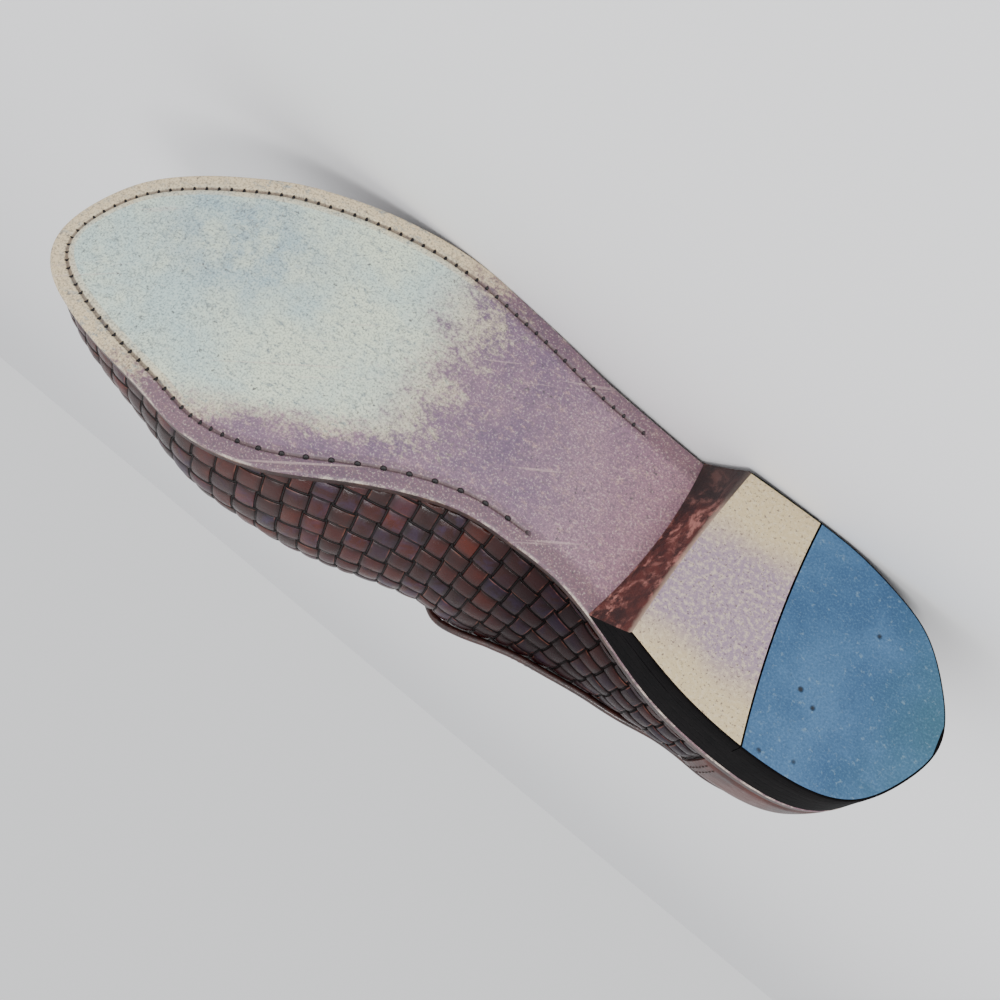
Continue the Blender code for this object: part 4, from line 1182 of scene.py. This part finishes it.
def buildBinding(finish, thread):
    # a fold carried round the rim; its section is a rounded hook of (rise, side, share of the sag)
    half = evenTurns(0.0018)
    half = half[: int(np.argmax(pastThroat(half) >= 0)) + 1]
    turns = np.concatenate([-half[:0:-1], half[:-1]])
    rises = collarRise(turns)
    rim, out = wallPoint(turns, rises), wallNormal(turns, rises)
    up = unit(np.cross(out, np.roll(rim, -1, 0) - np.roll(rim, 1, 0)))
    up = up * np.sign(up[len(up) // 2, 2])
    depth, thick, wall = trim["bindingDepth"], trim["bindingThickness"], last["wall"]
    below = wallAt(turns, topLength(turns)[:, None] - depth, 0.0)
    sag = np.maximum(-((below[:, 0] - rim) * out).sum(1), 0)
    near = last["gap"] + 0.00065 + 0.0009 * np.clip((rim[:, 0] - 0.146) / 0.014, 0, 1)
    far = near + thick
    section = [(-depth, near, 0), (-depth + 0.0002, near + thick * 0.7, 0), (-depth + 0.0009, far, 0)]
    section += [(0.0006 + (wall / 2 + thick + 0.0004) * math.sin(angle),
                 -wall / 2 + (wall / 2 + far) * math.cos(angle), 0) for angle in np.linspace(0, np.pi, 9)]
    section += [(-depth + 0.0009, -wall - far, 1), (-depth, -wall - near, 1), (0.0, -wall - near * 0.8, 0),
                (0.0006, -wall / 2, 0), (0.0, near * 0.8, 0), (-depth, near, 0)]
    rings = np.stack([rim + up * rise + out * np.reshape(side - deep * sag, (-1, 1))
                      for rise, side, deep in section])
    rings = np.concatenate([rings, rings[:, :1]], 1)
    addPiece("collarFold", [{"points": rings}], [finish], ["collar_binding"], sharp=60)
    line = rim - up * (depth - 0.0011) + out * (far[:, None] + 0.0001)
    row = resample(line, out, trim["foldPitch"])
    stitchRow("foldStitches", row, thread, trim["foldStitch"])


thread = threadFinish()
buildHeelPatch(patchCalf, thread)
buildApronSeam(brownCalf, thread)
buildBinding(brownCalf, thread)


# ---- thong, knot and tassels on the vamp

laces = {
    "diameter": 0.0026,
    "drop": 0.0095,
    "knot": (0.0130, 0.0105, 0.0070),
    "knotAhead": 0.0140,
    "turns": (  # of the knot: tilt, radius, shift and thickness
        (0.30, 0.98, 0.0012, 0.00125), (-0.42, 0.96, -0.0016, 0.00125), (1.25, 1.0, 0.0, 0.0011)),
    "reach": 0.0270,
    "capGap": 0.0010,
    "relief": 0.0008,
    "ends": (("Front", -7.0, -42.0, 7), ("Rear", 22.0, 42.0, 11)),  # heading, sideways and seed
}
tassel = {
    "cap": (0.0090, 0.0042),  # length and radius
    "capProfile": np.array([
        (0.0, 0.0), (0.0, 0.5), (0.03, 0.78), (0.10, 0.94), (0.16, 0.98), (0.20, 0.93), (0.23, 1.0),
        (0.26, 0.94), (0.29, 1.0), (0.32, 0.93), (0.36, 0.97), (0.40, 0.86), (0.40, 0.0)]),
    "skirt": (0.0240, 0.0066),
    "rings": ((22, 0.76, 0.92), (11, 0.42, 0.55)),  # strips, and their radius at the cap and the end
    "strip": (0.00165, 0.00055),
}


def vampPoints(ahead, aside, height):
    # a place on the vamp by its run ahead of the knot and down to one side
    along = last["throat"] + (laces["knotAhead"] + np.asarray(ahead)) / last["length"]
    share = (along - last["ridge"][0]) / (last["ridge"][1] - last["ridge"][0])
    turns = np.arccos(1 - 2 * share)
    turns = np.where(np.asarray(aside) < 0, 2 * np.pi - turns, turns)
    lengths = topLength(turns) - np.abs(aside)
    return wallAt(turns, lengths[:, None], np.asarray(height)[:, None])[:, 0]


def roundThong(name, route, finish, node):
    curve = bpy.data.curves.new(name, "CURVE")
    curve.dimensions = "3D"
    curve.bevel_depth = laces["diameter"] / 2
    curve.bevel_resolution = 4
    curve.use_fill_caps = True
    line = curve.splines.new("POLY")
    line.points.add(len(route) - 1)
    line.points.foreach_set("co", np.column_stack([toWorld(route), np.ones(len(route))]).ravel())
    curve.materials.append(finish)
    return settle(name, curve, [node])


def thongFinish():
    finish = Finish("rolledThong", {"Roughness": 0.42, "Coat Weight": 0.2}, stored=False)
    colour = finish.noise(160, 5, 0.7).span(0.35, 0.65).mix(paint(30, 9, 8), paint(54, 20, 14))
    return finish.done(colour, finish.noise(900, 4, 0.6), 0.0002)


def eyelet(turn, length):
    # a torus round the hole, in the wall's own frame
    at, up = np.array([turn]), np.array([[length]])
    centre, normal = wallAt(at, up, 0.0013)[0, 0], wallNormal(at[:, None], riseAt(at, up))[0, 0]
    ahead = unit(wallAt(at + 0.02, up, 0.0)[0, 0] - centre)
    aside = unit(np.cross(normal, ahead))
    ahead = np.cross(aside, normal)
    ring, tube = ringGrid(25, 9)
    radius = 0.0022 + 0.0006 * np.cos(tube)
    points = centre + (radius * np.cos(ring))[..., None] * ahead + (radius * np.sin(ring))[..., None] * aside
    return {"points": points + (0.0006 * np.sin(tube))[..., None] * normal}


def buildCollarLace(finish):
    step = 0.0020
    half = evenTurns(step)
    half = half[pastThroat(half) < -laces["drop"]]
    turns = np.concatenate([-half[:0:-1], half])
    lengths = topLength(turns) - laces["drop"]
    # the thong dives into its eyelet over the last few millimetres
    run = np.minimum(np.arange(len(turns)), np.arange(len(turns))[::-1]) * step
    height = laces["diameter"] / 2 + 0.0010 - 0.0030 * (1 - ease(run / 0.006))
    route = wallAt(turns, lengths[:, None], height[:, None])[:, 0]
    roundThong("collarThong", route, finish, "collar_lace")
    ends = [eyelet(turns[end], lengths[end]) for end in (0, -1)]
    addPiece("thongEyelets", ends, [brownCalf])


def laceRoute(heading, sideways, count):
    # a straight run at the heading with a sine sideways, from the knot's level to the cap's
    share = np.linspace(0, 1, count)
    aim, leave = math.radians(heading), math.radians(sideways)
    reach = laces["knot"][0] / 2 + last["gap"] + share * laces["reach"]
    swing = math.sin(leave) * laces["reach"] * 0.45 * np.sin(np.pi * share)
    ahead = reach * math.cos(aim) - swing * math.sin(aim)
    aside = reach * math.sin(aim) + swing * math.cos(aim)
    low = laces["knot"][2] / 2 + laces["relief"]
    high = tassel["cap"][1] + laces["relief"] + last["gap"]
    return vampPoints(ahead, aside, low + (high - low) * share)


def buildKnot(finish):
    # turns of thong round a soft core, within the CAD knot
    clear = laces["knot"][2] / 2 + laces["relief"] + last["gap"]
    before, centre, after = vampPoints([-0.004, 0.0, 0.004], [0.0] * 3, [clear] * 3)
    ahead, aside = unit(after - before), np.array([0.0, 1.0, 0.0])
    frames = np.stack([ahead, aside, unit(np.cross(ahead, aside))])
    size = np.array(laces["knot"]) / 2
    bodies = [ballGrid(33, 17) * size * 0.80]
    ring, tube = ringGrid(41, 11)
    for tilt, radius, shift, thick in laces["turns"]:
        base = np.stack([np.sin(tilt) * np.cos(ring), np.cos(tilt) * np.cos(ring), np.sin(ring)], -1)
        spread = base * (size * radius - thick) + base * (thick * np.cos(tube))[..., None]
        side = np.array([math.cos(tilt), -math.sin(tilt), 0.0])
        bodies.append(spread + side * (thick * np.sin(tube) + shift)[..., None])
    patches = [{"points": body @ frames + centre} for body in bodies]
    return addPiece("vampKnot", patches, [finish], ["lace_knot"], sharp=60)


def buildTassel(word, node, heading, finish, seed):
    chance = np.random.default_rng(seed)
    capLength, capRadius = tassel["cap"]
    skirtLength, skirtRadius = tassel["skirt"]
    start = laces["knot"][0] / 2 + last["gap"] + laces["reach"] + laces["capGap"]
    aim, share = math.radians(heading), np.linspace(0, 1, 30)
    reach = start + share * (capLength + skirtLength)
    clear = laces["relief"] + last["gap"] + capRadius + (skirtRadius - capRadius) * share
    middle = vampPoints(reach * math.cos(aim), reach * math.sin(aim), clear)
    ahead = unit(middle[-2] - middle[0])
    aside = unit(np.cross(ahead, [0.0, 0.0, 1.0]))
    up = np.cross(aside, ahead)
    # cap: a turned profile with wrapped ridges
    profile, angle = tassel["capProfile"], np.linspace(0, 2 * np.pi, 29)
    around = np.cos(angle)[:, None] * aside + np.sin(angle)[:, None] * up
    cap = columnsAt(profile[:, 0], share, middle)[:, None]
    cap = cap + (profile[:, 1] * capRadius)[:, None, None] * around[None]
    capPiece = addPiece("tasselCap" + word, [{"points": cap}], [finish], sharp=50)
    # strips: narrow ribbons that leave the cap and flare, in an inner and an outer ring
    wide, thick = tassel["strip"]
    patches = []
    for ring, (number, rootShare, endShare) in enumerate(tassel["rings"]):
        root, end = capRadius * rootShare, skirtRadius * endShare
        for k in range(number):
            turn = 2 * math.pi * (k + 0.5 * ring) / number + chance.normal(0, 0.05)
            s = np.linspace(0.30, 1.0 - abs(chance.normal(0, 0.02)), 14)
            t = (s - 0.30) / 0.70
            radius = root + (end - root) * t**0.8 + 0.0003 * np.sin(t * 5 + chance.uniform(0, 6)) * t
            bend = turn + chance.normal(0, 0.12) * t
            out = np.cos(bend)[:, None] * aside + np.sin(bend)[:, None] * up
            cross = -np.sin(bend)[:, None] * aside + np.cos(bend)[:, None] * up
            centre = columnsAt(s, share, middle) + out * radius[:, None]
            corners = ((-1, -1), (1, -1), (1, 1), (-1, 1), (-1, -1))
            body = np.stack([centre + cross * (a * wide / 2) + out * (b * thick / 2) for a, b in corners])
            patches.append({"points": body})
            patches += [{"points": np.stack([body[:2, at], body[[3, 2], at]])} for at in (0, -1)]
    return [capPiece, addPiece("tasselStrips" + word, patches, [finish], [node], sharp=50)]


rolledThong = thongFinish()
buildCollarLace(rolledThong)
knot = buildKnot(brownCalf)
for word, heading, sideways, seed in laces["ends"]:
    node = "_" + word.lower()
    route = laceRoute(heading, sideways, 28)
    thong = roundThong("laceEnd" + word, route, rolledThong, "lace_end" + node)
    pieces = buildTassel(word, "tassel" + node, heading, brownCalf, seed)
    pieces += [knot] if word == "Front" else []
    toWorld(route[:1])[0].tolist()
